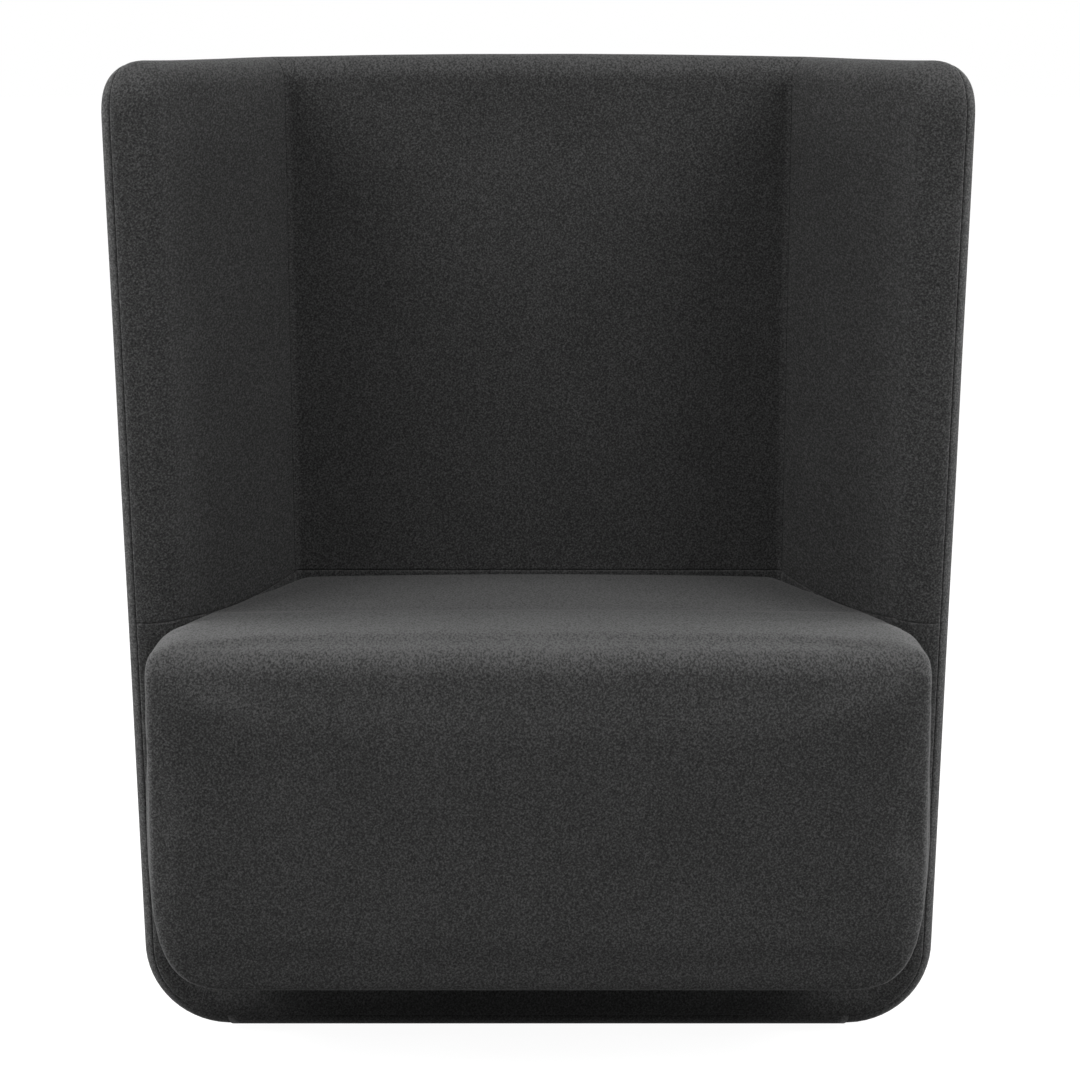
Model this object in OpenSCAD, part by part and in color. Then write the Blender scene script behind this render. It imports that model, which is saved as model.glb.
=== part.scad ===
// Acoustic high back lounge chair.
// A thin upholstered shell of two splayed wings and a leaning back, rolled under at its lower
// corners, holds a full-width seat block that overhangs the shell's front edge.
// Millimetres. The origin is on the floor, under the middle of the whole chair; +Z is up, and the
// chair faces -Y. Depths named s are measured back from the plane of the shell's front edge, and
// heights named z from the shell's underside.

/* [Shell] */
// Height of the shell, from its underside to its top edge
shell_h = 1048; // [950:1:1200]
// Width across the planes of the wings' outer faces at the top
shell_top_w = 920; // [890:1:960]
// Width across the planes of the wings' outer faces at the foot
shell_foot_w = 878; // [850:1:900]
// Finished thickness of a wing
wing_t = 53; // [50:1:60]
// Finished thickness of the back
back_t = 63; // [60:1:75]
// Angle by which each wing opens out from straight ahead, in degrees
wing_splay = 18; // [14:0.1:20]
// Angle by which the back leans, in degrees
back_lean = 2.6; // [2:0.1:5]
// Radius of the rolled lower corners
lower_corner_r = 95; // [88:1:105]
// Radius of the top front corner of a wing
top_corner_r = 59; // [50:1:75]
// Radius of the rounded front and top edges
edge_r = 28; // [25:1:30]
// Radius of the outer edges of the back
back_edge_r = 22; // [18:1:24]
// Distance of the edge seam from the outer face
seam_inset = 13; // [8:1:20]
// How far the cross seam lies below the seat's front edge
seam_drop = 11.5; // [8:0.5:14]
// How far the cross seam lies above the seat's rear edge
seam_rise = 5; // [3:0.5:10]
// Radius of the crease in the inner back corners
crease_r = 6; // [4:0.5:8]
// Height of the gap between the shell and the floor
floor_gap = 8; // [6:1:12]

/* [Seat block] */
// Height of the seat's front edge above the floor
seat_h = 479; // [450:1:510]
// Depth from the front of the seat to the back
seat_depth = 503; // [470:1:540]
// Length by which the seat block overhangs the shell's front
seat_overhang_l = 180; // [160:1:200]
// Width of the seat block's front
seat_front_w = 799; // [780:1:806]
// Slope of the seat towards the back, in degrees
seat_slope = 3; // [1:0.1:4]
// Clear height under the overhanging seat block
seat_clear_h = 115; // [110:1:128]
// Radius of the seat block's lower corners
seat_corner_r = 76; // [70:1:90]
// Radius of the seat's front edge
seat_edge_r = 30; // [24:1:34]
// Radius of the seat's side edges
seat_side_r = 15; // [12:1:22]
// Radius round the seat block's front face
seat_rim_r = 9; // [7:1:11]
// Height of the seat's crown
seat_crown = 4; // [2:1:8]
// Bulge of the seat block's front face
seat_bulge = 4; // [2:0.5:6]
// Thickness of the seat foam at the front
seat_foam_t = 88; // [75:1:100]

/* [Cloth and foam] */
// Thickness of the wool felt cover
cloth_t = 1.2; // [1:0.1:1.6]
// Thickness of the foam round the seat box
wrap_foam_t = 10; // [8:0.5:12]
// Depth of the flap by which the base's cover reaches under it
flap_l = 12; // [9:1:14]
// Gap left between soft pieces
soft_gap = 0.3; // [0.25:0.05:0.5]

/* [Boards and rails] */
// Thickness of the shell's plywood boards
board_t = 18; // [15:1:18]
// Thickness of the seat box's bent plywood
bent_t = 5; // [4:0.5:6]
// Thickness of the seat box's bottom board
bottom_t = 12; // [9:1:15]
// Width of the base rails
rail_w = 42; // [36:1:46]
// Width of the rear base rail
rear_rail_w = 62; // [58:1:66]
// Thickness of the seat box's side rails
side_rail_t = 20; // [18:1:24]
// Height of the seat box's side rails
side_rail_h = 60; // [45:1:70]
// Height of the base board's underside in the shell
base_z = 12; // [11:0.5:14]
// Leg of the corner battens
batten_w = 34; // [28:1:40]

/* [Webbing] */
// Width of a webbing strap
strap_w = 50; // [40:1:56]
// Thickness of a webbing strap
strap_t = 2; // [1.5:0.1:2.5]
// Number of lengthwise straps
strap_count = 7; // [5:1:7]
// Number of cross straps
cross_count = 5; // [3:1:5]

/* [Glides] */
// Radius of a glide's pad
pad_r = 20; // [17:0.5:24]
// Thickness of a glide's pad
pad_t = 6; // [5:0.5:7]
// Radius of the glide's stem
stem_r = 4; // [3:0.5:5]
// Length of the glide's stem above its pad
stem_l = 46; // [40:1:50]
// How far a glide screws out
glide_travel = 10; // [5:1:12]
// Width across the flats of the stem's hexagon
hex_w = 13; // [12:0.5:15]
// Depth of the stem's socket in the pad
socket_h = 4; // [3:0.5:4.5]
// How much thinner the stem is in its socket
socket_step = 1; // [0.5:0.25:1.5]
// Running clearance round the stem
run_gap = 0.06; // [0.03:0.01:0.09]

/* [Fasteners] */
// Radius of the seat bolts
bolt_r = 4; // [3:0.5:4.5]
// Radius of a panel screw's shank
screw_r = 2.25; // [1.75:0.25:2.75]
// Length of a panel screw
screw_l = 50; // [40:1:50]
// Wall of a threaded insert
insert_t = 2.5; // [1.5:0.25:3]
// Width of a threaded insert's flange
flange_w = 4.5; // [3:0.5:5]
// Thickness of a flange or a washer
washer_t = 1.6; // [1.2:0.1:2]

/* [Hidden] */

// Smoothness of round parts
$fn = 48;
// Overrun of cuts
over = 1;

// Slopes of the wings and the back, as run per rise
splay_x = tan(wing_splay);
lean_x = (shell_top_w - shell_foot_w) / 2 / (shell_h - lower_corner_r);
lean_y = tan(back_lean);
wing_tilt = atan(lean_x * cos(wing_splay));
// Thickness of a wing and of a board, measured straight across the chair
wall_x = wing_t / cos(wing_splay);
board_x = board_t / cos(wing_splay) / cos(wing_tilt);
board_y = board_t / cos(back_lean);

// Heights in the shell
seat_z = seat_h - floor_gap;
seat_under_z = seat_clear_h - floor_gap;
seat_rear_z = seat_z - seat_depth * tan(seat_slope);
seam_front_z = seat_z - seam_drop;
seam_rear_z = seat_rear_z + seam_rise;

// Depths in the shell
back_s = seat_depth - seat_overhang_l - lean_y * seat_rear_z;
total_depth = seat_overhang_l + back_s + lean_y * (shell_h - edge_r) + back_t;
front_y = seat_overhang_l - total_depth / 2;

// Layers of a wing, from its outer face
skin = cloth_t + soft_gap;
core_b = (wall_x - board_x) / 2;
core_in_b = core_b + board_x;
// Layers of the back, from its inner face
back_core_d = back_t - back_edge_r - board_y;
back_core_end_d = back_t - back_edge_r;
// Depth at which the boards start behind the rounded edge
core_s = edge_r + soft_gap;
roll_x = shell_foot_w / 2 - lower_corner_r;

function outer_half(z) = shell_foot_w / 2 + lean_x * (z - lower_corner_r);
function back_at(z) = back_s + lean_y * z;

// Points on the shell: s back from the front edge, b in from the outer face
function wall_pt(s, z, b) = [outer_half(z) - b - splay_x * s, front_y + s, floor_gap + z];
function turned_z(turn, b) = lower_corner_r - (lower_corner_r - b) * sin(turn);
function roll_pt(s, turn, b) = [
    roll_x + (lower_corner_r - b) * cos(turn) - splay_x * s,
    front_y + s,
    floor_gap + turned_z(turn, b)
];
function foot_pt(s, x, b) = [x * (1 - splay_x * s / roll_x), front_y + s, floor_gap + b];

// Where the top edge of a wing ends at the back corner
function top_end(z, b) =
    back_at(z) - crease_r + (back_core_end_d + crease_r) * (1 - b / wall_x);

// A point d in from the rounded edge: a station is a stretch of the edge and a place on it
function edge_pt(st, d, b) =
    st[0] == "foot" ? foot_pt(d, st[1], b) :
    st[0] == "roll" ? roll_pt(d, st[1], b) :
    st[0] == "wall" ? wall_pt(d, st[1], b) :
    st[0] == "corner" ? wall_pt(
        top_corner_r - (top_corner_r - d) * cos(st[1]),
        shell_h - top_corner_r + (top_corner_r - d) * sin(st[1]), b) :
    wall_pt(top_corner_r + st[1] * (top_end(shell_h - d, b) - top_corner_r), shell_h - d, b);

// A point on the rounded edge itself: turn is -90 at the outer face and 90 at the inner face
function nose_pt(st, turn, cut) = edge_pt(
    st,
    edge_r - (edge_r - cut) * cos(turn),
    wall_x / 2 + (wall_x / 2 - cut) * sin(turn)
);
seam_turn = asin(2 * seam_inset / wall_x - 1);
function spread(a, b, n) = [for (i = [0:n]) a + (b - a) * i / n];
inner_turns = spread(seam_turn, 90, 6);
outer_turns = spread(-90, seam_turn, 4);
full_turns = concat(outer_turns, [for (i = [1:len(inner_turns) - 1]) inner_turns[i]]);

// Stretches of the edge
roll_steps = [90, 78, 65, 55, 45, 34, 22, 11, 0];
roll_stations = [for (turn = roll_steps) ["roll", turn]];
corner_stations = [for (turn = spread(15, 90, 5)) ["corner", turn]];
// Height of each station of the corner and the top on the line where the wing meets the back
corner_far_shares = [0.1, 0.2, 0.32, 0.44, 0.56, 0.68];
far_lip_share = 0.97;
far_mid_share = 0.84;
// Share of the top edge of a wing that its own pieces cover, up to those of the back
top_share = 0.999;
function far_z(share) = shell_h - top_corner_r + share * (top_corner_r - edge_r);
upper_rows = concat(
    [[["wall", shell_h - top_corner_r], shell_h - top_corner_r]],
    [for (i = [0:len(corner_stations) - 1]) [corner_stations[i], far_z(corner_far_shares[i])]],
    [[["top", 0.5], far_z(far_mid_share)], [["top", top_share], far_z(far_lip_share)]]
);

// Volume of a closed mesh with a sign, so that each can be turned the right way out
function mesh_volume(points, faces) = [for (f = faces) cross(points[f[0]], points[f[1]]) *
    points[f[2]]] * [for (f = faces) 1];
module mesh(points, faces) {
    turned = mesh_volume(points, faces) > 0;
    polyhedron(points, turned ? [for (f = faces) [f[2], f[1], f[0]]] : faces);
}
function flat(grid) = [for (row = grid) for (p = row) p];
function quad(a, b, c, d) = [[a, b, c], [a, c, d]];

// A sheet between two grids of points
module sheet(outer, inner) {
    n = len(outer);
    m = len(outer[0]);
    o = n * m;
    faces = concat(
        [for (i = [0:n - 2], j = [0:m - 2]) each
            quad(i * m + j, i * m + j + 1, (i + 1) * m + j + 1, (i + 1) * m + j)],
        [for (i = [0:n - 2], j = [0:m - 2]) each
            quad(o + i * m + j, o + (i + 1) * m + j, o + (i + 1) * m + j + 1, o + i * m + j + 1)],
        [for (j = [0:m - 2]) each quad(j + 1, j, o + j, o + j + 1)],
        [for (j = [0:m - 2]) each
            quad((n - 1) * m + j, (n - 1) * m + j + 1, o + (n - 1) * m + j + 1, o + (n - 1) * m + j)],
        [for (i = [0:n - 2]) each quad(i * m, (i + 1) * m, o + (i + 1) * m, o + i * m)],
        [for (i = [0:n - 2]) each
            quad((i + 1) * m + m - 1, i * m + m - 1, o + i * m + m - 1, o + (i + 1) * m + m - 1)]
    );
    mesh(concat(flat(outer), flat(inner)), faces);
}
function band(k, m) = [for (j = [0:m - 1]) each
    quad(k * m + j, k * m + (j + 1) % m, (k + 1) * m + (j + 1) % m, (k + 1) * m + j)];
function fan(first, m) = [for (j = [1:m - 2]) [first, first + j, first + j + 1]];
function flip(faces) = [for (f = faces) [f[2], f[1], f[0]]];
function shift(faces, o) = [for (f = faces) [f[0] + o, f[1] + o, f[2] + o]];

// A solid through a row of convex rings of points, closed at both ends
module rings(loops) {
    m = len(loops[0]);
    n = len(loops);
    mesh(flat(loops), concat(
        flip(fan(0, m)),
        [for (k = [0:n - 2]) each band(k, m)],
        fan((n - 1) * m, m)
    ));
}
// A dish between two rows of rings: open at the first ring, closed at the last
module dish(outer, inner) {
    m = len(outer[0]);
    n = len(outer);
    o = n * m;
    wall = concat([for (k = [0:n - 2]) each band(k, m)], fan((n - 1) * m, m));
    rim = [for (j = [0:m - 1]) each quad((j + 1) % m, j, o + j, o + (j + 1) % m)];
    mesh(concat(flat(outer), flat(inner)), concat(wall, shift(flip(wall), o), rim));
}
module both_sides() {
    children();
    mirror([1, 0, 0]) children();
}

// Frames in which flat boards are drawn: the wing's plane and the back's plane
module on_wing(b) {
    translate([outer_half(lower_corner_r) - b, front_y, floor_gap + lower_corner_r])
        rotate([0, 0, 90 + wing_splay])
            rotate([wing_tilt, 0, 0])
                children();
}
function wing_xy(s, z) = [
    (s - (z - lower_corner_r) * tan(wing_tilt) * sin(wing_splay)) / cos(wing_splay),
    (z - lower_corner_r) / cos(wing_tilt)
];
module wing_board(points) {
    translate([0, board_t, 0])
        rotate([90, 0, 0])
            linear_extrude(board_t)
                polygon(points);
}
module on_back(d) {
    translate([0, front_y + back_s + d, floor_gap])
        rotate([-back_lean, 0, 0])
            children();
}
module upright(t) {
    translate([0, t, 0])
        rotate([90, 0, 0])
            linear_extrude(t)
                children();
}

// Base frame
// Foam left round the boards at the rolled corners
roll_skin = 3 * skin;
function roll_reach(z) =
    sqrt(pow(lower_corner_r - roll_skin, 2) - pow(lower_corner_r - z, 2));
base_half = roll_x + roll_reach(base_z);
base_top_z = base_z + board_t;
rail_top_z = seat_under_z - soft_gap;
base_end_s = back_at(0) + back_core_d - soft_gap;
sill_x = shell_foot_w / 2 - core_in_b
    - max(lean_x * (lower_corner_r - base_top_z), lean_x * (lower_corner_r - rail_top_z));
function base_x(x, s) = x - splay_x * s;
front_rail_end_s = core_s + skin + rail_w;
rear_rail_end_s = base_end_s;
rear_rail_s = rear_rail_end_s - rear_rail_w;
// Front of the seat box's rear former, which stands just clear of the back
rear_former_s = back_at(seat_under_z) - soft_gap - crease_r - board_t;

// Places of the glides, inside the rolled corners' foam, and of the seat bolts
glide_front_inset = 30;
glide_rear_inset = 10;
nut_r = stem_r + insert_t;
nut_flange_r = nut_r + flange_w;
glide_front_s = front_rail_end_s + nut_flange_r;
glide_rear_s = rear_rail_s + rear_rail_w / 2;
glide_front_x = base_x(roll_x, glide_front_s) - glide_front_inset;
glide_rear_x = base_x(roll_x, glide_rear_s) - glide_rear_inset;
bolt_inset = 45;
washer_r = bolt_r * 2.5;
bolt_nut_r = bolt_r + insert_t;
bolt_front_s = core_s + flap_l + washer_r + skin;
bolt_rear_s = rear_former_s - soft_gap - bolt_nut_r - flange_w;
function bolt_x(s) = bottom_half(s) - bolt_inset;

module at_glides() {
    both_sides() {
        translate([glide_front_x, front_y + glide_front_s, 0]) children();
        translate([glide_rear_x, front_y + glide_rear_s, 0]) children();
    }
}
module at_bolts() {
    both_sides() {
        translate([bolt_x(bolt_front_s), front_y + bolt_front_s, 0]) children();
        translate([bolt_x(bolt_rear_s), front_y + bolt_rear_s, 0]) children();
    }
}
// Round holes down through the base for the bolts
module bolt_holes(low, high) {
    at_bolts()
        translate([0, 0, floor_gap + low - over])
            cylinder(r = bolt_r + run_gap, h = high - low + 2 * over);
}

// Round hollow for the top of each glide's stem
module stem_holes(low, high) {
    at_glides()
        translate([0, 0, floor_gap + low - over])
            cylinder(r = stem_r + soft_gap, h = high - low + over + soft_gap);
}
stem_top_z = pad_t + stem_l - floor_gap;

module base_plan(front_x, rear_x, s0, s1) {
    polygon([
        [-front_x, front_y + s0], [front_x, front_y + s0],
        [rear_x, front_y + s1], [-rear_x, front_y + s1]
    ]);
}
module base_board() {
    color("burlywood")
        difference() {
            translate([0, 0, floor_gap + base_z])
                linear_extrude(board_t)
                    base_plan(base_x(base_half, core_s), base_x(base_half, base_end_s),
                        core_s, base_end_s);
            at_glides() {
                translate([0, 0, floor_gap + base_z - over])
                    cylinder(r = nut_r + run_gap, h = board_t + 2 * over);
                translate([0, 0, floor_gap + base_top_z - washer_t])
                    cylinder(r = nut_flange_r + run_gap, h = washer_t + over);
            }
            bolt_holes(base_z, base_top_z);
        }
}
module base_rail(x0, x1, s0, s1) {
    translate([0, 0, floor_gap + base_top_z])
        linear_extrude(rail_top_z - base_top_z)
            base_plan(x0, x1, s0, s1);
}
module base_front_rail() {
    color("peru")
        difference() {
            base_rail(
                base_x(sill_x, core_s + skin) - soft_gap,
                base_x(sill_x, front_rail_end_s) - soft_gap,
                core_s + skin, front_rail_end_s);
            stem_holes(base_top_z, stem_top_z);
            bolt_holes(base_top_z, rail_top_z);
        }
}
module base_rear_rail() {
    color("peru")
        difference() {
            base_rail(
                base_x(sill_x, rear_rail_s) - soft_gap,
                base_x(sill_x, rear_rail_end_s) - soft_gap,
                rear_rail_s, rear_rail_end_s);
            stem_holes(base_top_z, stem_top_z);
            bolt_holes(base_top_z, rail_top_z);
        }
}
module base_centre_rail() {
    color("peru")
        translate([-rail_w / 2, front_y + front_rail_end_s, floor_gap + base_top_z])
            cube([rail_w, rear_rail_s - front_rail_end_s, rail_top_z - base_top_z]);
}
module side_sills() {
    color("peru")
        both_sides()
            difference() {
                translate([0, 0, floor_gap + base_top_z])
                    linear_extrude(rail_top_z - base_top_z)
                        polygon([
                            [base_x(sill_x, front_rail_end_s), front_y + front_rail_end_s],
                            [base_x(sill_x, rear_rail_s), front_y + rear_rail_s],
                            [base_x(sill_x - rail_w, rear_rail_s), front_y + rear_rail_s],
                            [base_x(sill_x - rail_w, front_rail_end_s),
                                front_y + front_rail_end_s]
                        ]);
                screw_bores();
            }
}

// Side panels
panel_foot_z = lower_corner_r
    - sqrt(pow(lower_corner_r - roll_skin, 2) - pow(lower_corner_r - core_b, 2));
panel_corner_r = top_corner_r - core_s;
// The panel's inner face lies a little forward of its outer face and above it
panel_s = core_s + board_t * sin(wing_splay);
panel_top_z = shell_h - core_s - board_t * abs(sin(wing_tilt));
module side_panel() {
    arc = [for (turn = spread(0, 90, 8)) wing_xy(
        panel_s + panel_corner_r * (1 - cos(turn)),
        panel_top_z - panel_corner_r * (1 - sin(turn)))];
    color("burlywood")
        difference() {
            on_wing(core_b)
                wing_board(concat(
                    [wing_xy(panel_s, panel_foot_z)],
                    arc,
                    [
                        wing_xy(back_at(panel_top_z) + back_core_d - soft_gap, panel_top_z),
                        wing_xy(back_at(panel_foot_z) + back_core_d - soft_gap, panel_foot_z)
                    ]
                ));
            screw_bores();
        }
}
module side_panel_right() side_panel();
module side_panel_left() mirror([1, 0, 0]) side_panel();

// Back board
back_foot_z = base_z + roll_skin;
back_corner_r = lower_corner_r - roll_skin;
back_top_z = panel_top_z;
function back_half(z) =
    outer_half(z) - core_b - splay_x * (back_at(z) + back_core_end_d);
module back_board() {
    foot_half = min(back_half(back_foot_z), back_half(back_foot_z + back_corner_r)) - soft_gap;
    arc = [for (turn = spread(90, 0, 8)) [
        foot_half - back_corner_r * (1 - cos(turn)),
        (back_foot_z + back_corner_r * (1 - sin(turn))) / cos(back_lean)]];
    top = [back_half(back_top_z) - soft_gap, back_top_z / cos(back_lean)];
    side = concat(arc, [top]);
    color("burlywood")
        difference() {
            on_back(back_core_d)
                upright(board_t)
                    polygon(concat(side, [for (i = [len(side) - 1:-1:0]) [-side[i][0], side[i][1]]]));
            both_sides() screw_bores();
        }
}

// Corner battens: bevelled posts below the seat, glued where a side panel meets the back board
module corner_battens() {
    low = rail_top_z + soft_gap;
    high = seat_rear_z - seat_foam_t;
    back_d = back_core_d - soft_gap;
    function corner(z, i, d) = [
        outer_half(z) - core_in_b - soft_gap - i * batten_w - splay_x * (back_at(z) + d),
        front_y + back_at(z) + d, floor_gap + z];
    color("peru")
        both_sides()
            rings([for (z = [low, high]) [
                corner(z, 0, back_d), corner(z, 1, back_d), corner(z, 0, skin)]]);
}

// Screws: up each back corner through the back board into the side panels, and along each sill
// through the side panels. Each lies in the plane of its panel or square to it.
screw_row_shares = [0.18, 0.38, 0.58, 0.78, 0.95];
sill_screw_shares = [0.2, 0.5, 0.8];
head_r = screw_r * 2;
head_t = screw_r;
module screw(gap, head_run) {
    cylinder(r = screw_r + gap, h = screw_l);
    translate([0, 0, -head_run])
        cylinder(r = head_r + gap, h = head_run + gap);
}
module at_back_screws() {
    for (share = screw_row_shares) {
        z = shell_h * share;
        end_s = back_at(z) + back_core_end_d;
        on_wing(core_b)
            translate([
                wing_xy(end_s, z)[0] - head_t - head_r * tan(wing_splay) - board_t / 2 * tan(wing_splay),
                board_t / 2, wing_xy(end_s, z)[1]])
                rotate([0, -90, 0])
                    children();
    }
}
module at_sill_screws() {
    z = (panel_foot_z + rail_top_z) / 2;
    for (share = sill_screw_shares) {
        s = front_rail_end_s + share * (rear_rail_s - front_rail_end_s);
        on_wing(core_b)
            translate([wing_xy(s, z)[0], head_t, wing_xy(s, z)[1]])
                rotate([-90, 0, 0])
                    children();
    }
}
module screw_bores() {
    at_back_screws() screw(run_gap, board_t);
    at_sill_screws() screw(run_gap, head_t + over);
}
module panel_screws() {
    color("silver")
        both_sides() {
            at_back_screws() screw(0, head_t);
            at_sill_screws() screw(0, head_t);
        }
}

// Seat block: a closed skin round the seat, cut in from the finished surface by a distance
face_s = seat_bulge - seat_overhang_l;
side_run = seat_overhang_l / 2;
function inner_half(z) = outer_half(z) - wall_x - soft_gap;
function ease(a, b, slope, run, u) =
    a * (1 + 2 * u) * pow(1 - u, 2) + b * u * u * (3 - 2 * u) + slope * run * u * u * (u - 1);
function block_half(s, z) =
    s >= 0 ? inner_half(z) - splay_x * s :
    s <= -side_run ? seat_front_w / 2 :
    ease(seat_front_w / 2, inner_half(z), -splay_x, side_run, 1 + s / side_run);
function side_top(s) = seat_z - (s + seat_overhang_l) * tan(seat_slope);
// How far a face has drawn in at a distance behind the front face
function drawn_in(e, r) = e >= r ? 0 : r - sqrt(pow(r, 2) - pow(r - e, 2));
corner_turns = spread(0, 90, 6);
side_turns = spread(0, 90, 5);
crown_shares = [0.75, 0.5, 0.25];
crown_run = 2 * seat_edge_r;
function crown(s, share) =
    seat_crown * (1 - share * share) * min(1, (s - face_s) / crown_run);
function block_half_loop(s, cut) =
    let (e = s - face_s,
        side_in = cut + drawn_in(e, seat_rim_r),
        top_in = cut + drawn_in(e, seat_edge_r),
        top = side_top(s) - top_in,
        low = seat_under_z + side_in,
        half_low = block_half(s, low + seat_corner_r) - side_in,
        half_top = block_half(s, top - seat_side_r) - side_in,
        flat_half = half_top - seat_side_r)
    concat(
        [[0, low]],
        [for (turn = corner_turns) [
            half_low - seat_corner_r * (1 - sin(turn)), low + seat_corner_r * (1 - cos(turn))]],
        [[block_half(s, deck_z) - side_in, deck_z]],
        [for (turn = side_turns) [
            half_top - seat_side_r * (1 - cos(turn)), top - seat_side_r * (1 - sin(turn))]],
        [for (share = crown_shares) [flat_half * share, top + crown(s, share)]],
        [[0, top + crown(s, 0)]]
    );
function whole_loop(half) =
    concat(half, [for (i = [len(half) - 2:-1:1]) [-half[i][0], half[i][1]]]);
function stand(loop, s) = [for (p = loop) [p[0], front_y + s, floor_gap + p[1]]];
// A loop laid on the leaning back, at a distance in front of it, and narrowed for the crease
function lean_back(loop, gap, narrow) = [for (p = loop)
    let (s = back_at(p[1]) - gap, half = block_half(rear_s, p[1]))
    [p[0] * (1 + (splay_x * (rear_s - s) - narrow) / half), front_y + s, floor_gap + p[1]]];
function lean_pair(loop) = [
    lean_back(loop, soft_gap, crease_r), lean_back(loop, soft_gap + crease_r, 0)];
block_steps = [0.85, 0.42, 0];
front_steps = [1, 0.62, 0.35, 0.16, 0.05];
face_shares = [0.72, 0.42, 0.14];
rear_s = back_at(seat_rear_z) - soft_gap;
// How much further forward the back is at the seat block's underside
lean_run = lean_y * (seat_rear_z - seat_under_z);
function block_stations(cut) = concat(
    [for (share = block_steps) (rear_s - lean_run) * share],
    [-side_run / 2, -side_run],
    [for (share = front_steps) face_s + cut + (seat_edge_r - cut) * share],
    [face_s + cut]
);
// The same station as seen by a skin cut in from the surface
function skin_s(s, cut) = max(s - cut, face_s);
function block_loop(s, cut) = whole_loop(block_half_loop(skin_s(s, cut), cut));
face_z = (seat_z + seat_under_z) / 2;
function face_loop(share, cut) = [for (p = block_loop(face_s + cut, cut)) [
    p[0] * share,
    front_y + face_s + cut - seat_bulge * (1 - share * share),
    floor_gap + face_z + (p[1] - face_z) * share]];
function block_rings(cut) = concat(
    lean_pair(block_loop(rear_s, cut)),
    [for (s = block_stations(cut)) stand(block_loop(s, cut), s)],
    [for (share = face_shares) face_loop(share, cut)]
);
module seat_cover() {
    color("dimgray")
        difference() {
            dish(block_rings(0), block_rings(cloth_t));
            bolt_holes(seat_under_z, box_low_z);
        }
}

// Seat foam: the top of the seat block, down to the webbing
deck_z = seat_z - seat_foam_t;
foam_first = len(corner_turns);
function foam_loop(s, cut) =
    let (half = block_half_loop(skin_s(s, cut), cut),
        upper = [for (i = [foam_first + 1:len(half) - 1]) half[i]])
    whole_loop(concat([[0, deck_z]], upper));
module seat_foam() {
    color("khaki")
        rings(concat(
            lean_pair(foam_loop(rear_s, skin)),
            [for (s = block_stations(skin)) stand(foam_loop(s, skin), s)]
        ));
}

// Foam on the seat block's front, down from the seat foam
wrap_in = skin + wrap_foam_t;
bent_in = wrap_in + soft_gap;
former_in = bent_in + bent_t + soft_gap;
front_panel_s = face_s + skin + wrap_foam_t + soft_gap;
function lower_loop(s, cut, top) =
    let (half = block_half_loop(skin_s(s, cut), cut))
    whole_loop(concat(
        [for (i = [0:foam_first]) half[i]],
        [[block_half(skin_s(s, cut), top) - cut - drawn_in(s - cut - face_s, seat_rim_r), top], [0, top]]
    ));
foam_join_z = deck_z - soft_gap;
module seat_front_foam() {
    mid_z = (foam_join_z + seat_under_z) / 2;
    function pillow(share) = [for (p = lower_loop(face_s + skin, skin, foam_join_z)) [
        p[0] * share, front_y + face_s + skin - seat_bulge / 2 * (1 - share * share),
        floor_gap + mid_z + (p[1] - mid_z) * share]];
    color("khaki")
        rings(concat(
            [stand(lower_loop(face_s + skin + wrap_foam_t, skin, foam_join_z),
                face_s + skin + wrap_foam_t)],
            [for (share = front_steps) if (share < wrap_foam_t / seat_edge_r)
                stand(lower_loop(face_s + skin + seat_edge_r * share, skin, foam_join_z),
                    face_s + skin + seat_edge_r * share)],
            [stand(lower_loop(face_s + skin, skin, foam_join_z), face_s + skin)],
            [for (share = face_shares) pillow(share)]
        ));
}

// Layers bent round the seat box: from the deck down one side, under, and up the other. Where the
// block widens to the back, a layer takes the width of the skin in front of it.
function wrap_s(s, cut) =
    s < 0 && block_half(s, deck_z) > block_half(s - cut, deck_z) ? s - cut : s;
// Half-width inside the bent layers, where the seat box and the webbing fit
function box_half(s, z) = block_half(wrap_s(s, former_in), z) - former_in - soft_gap;
function wrap_line(station, cut, top) =
    let (s = wrap_s(station, cut), half = block_half_loop(s, cut),
        side = [for (i = [foam_first:-1:1]) half[i]],
        right = concat([[block_half(s, top) - cut, top]], side, [[0, half[0][1]]]))
    concat(right, [for (i = [len(right) - 2:-1:0]) [-right[i][0], right[i][1]]]);
module wrap(cut, t, s0, top) {
    function rows(in) = concat(
        [for (s = [s0, -side_run, -side_run / 2, 0]) stand(wrap_line(s, in, top), s)],
        [lean_back(wrap_line(rear_s, in, top), soft_gap + crease_r, 0)]);
    difference() {
        sheet(rows(cut), rows(cut + t));
        bolt_holes(seat_under_z, box_low_z);
    }
}
module seat_wrap_foam() {
    color("khaki")
        wrap(skin, wrap_foam_t, front_panel_s, foam_join_z);
}
module seat_wrap_board() {
    color("burlywood")
        wrap(bent_in, bent_t, front_in_s + soft_gap, former_top_z);
}

// Formers and rails of the seat box
former_top_z = deck_z - 2 * strap_t - soft_gap;
box_low_z = seat_under_z + former_in;
module former_plate(s, narrow_s, cut, top) {
    line = block_half_loop(narrow_s, cut);
    lower = [for (i = [1:foam_first]) line[i]];
    half = concat(lower, [[block_half(narrow_s, top) - cut, top]]);
    translate([0, front_y + s, floor_gap])
        upright(board_t)
            polygon(concat(half, [for (i = [len(half) - 1:-1:0]) [-half[i][0], half[i][1]]]));
}
front_in_s = front_panel_s + board_t;
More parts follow.
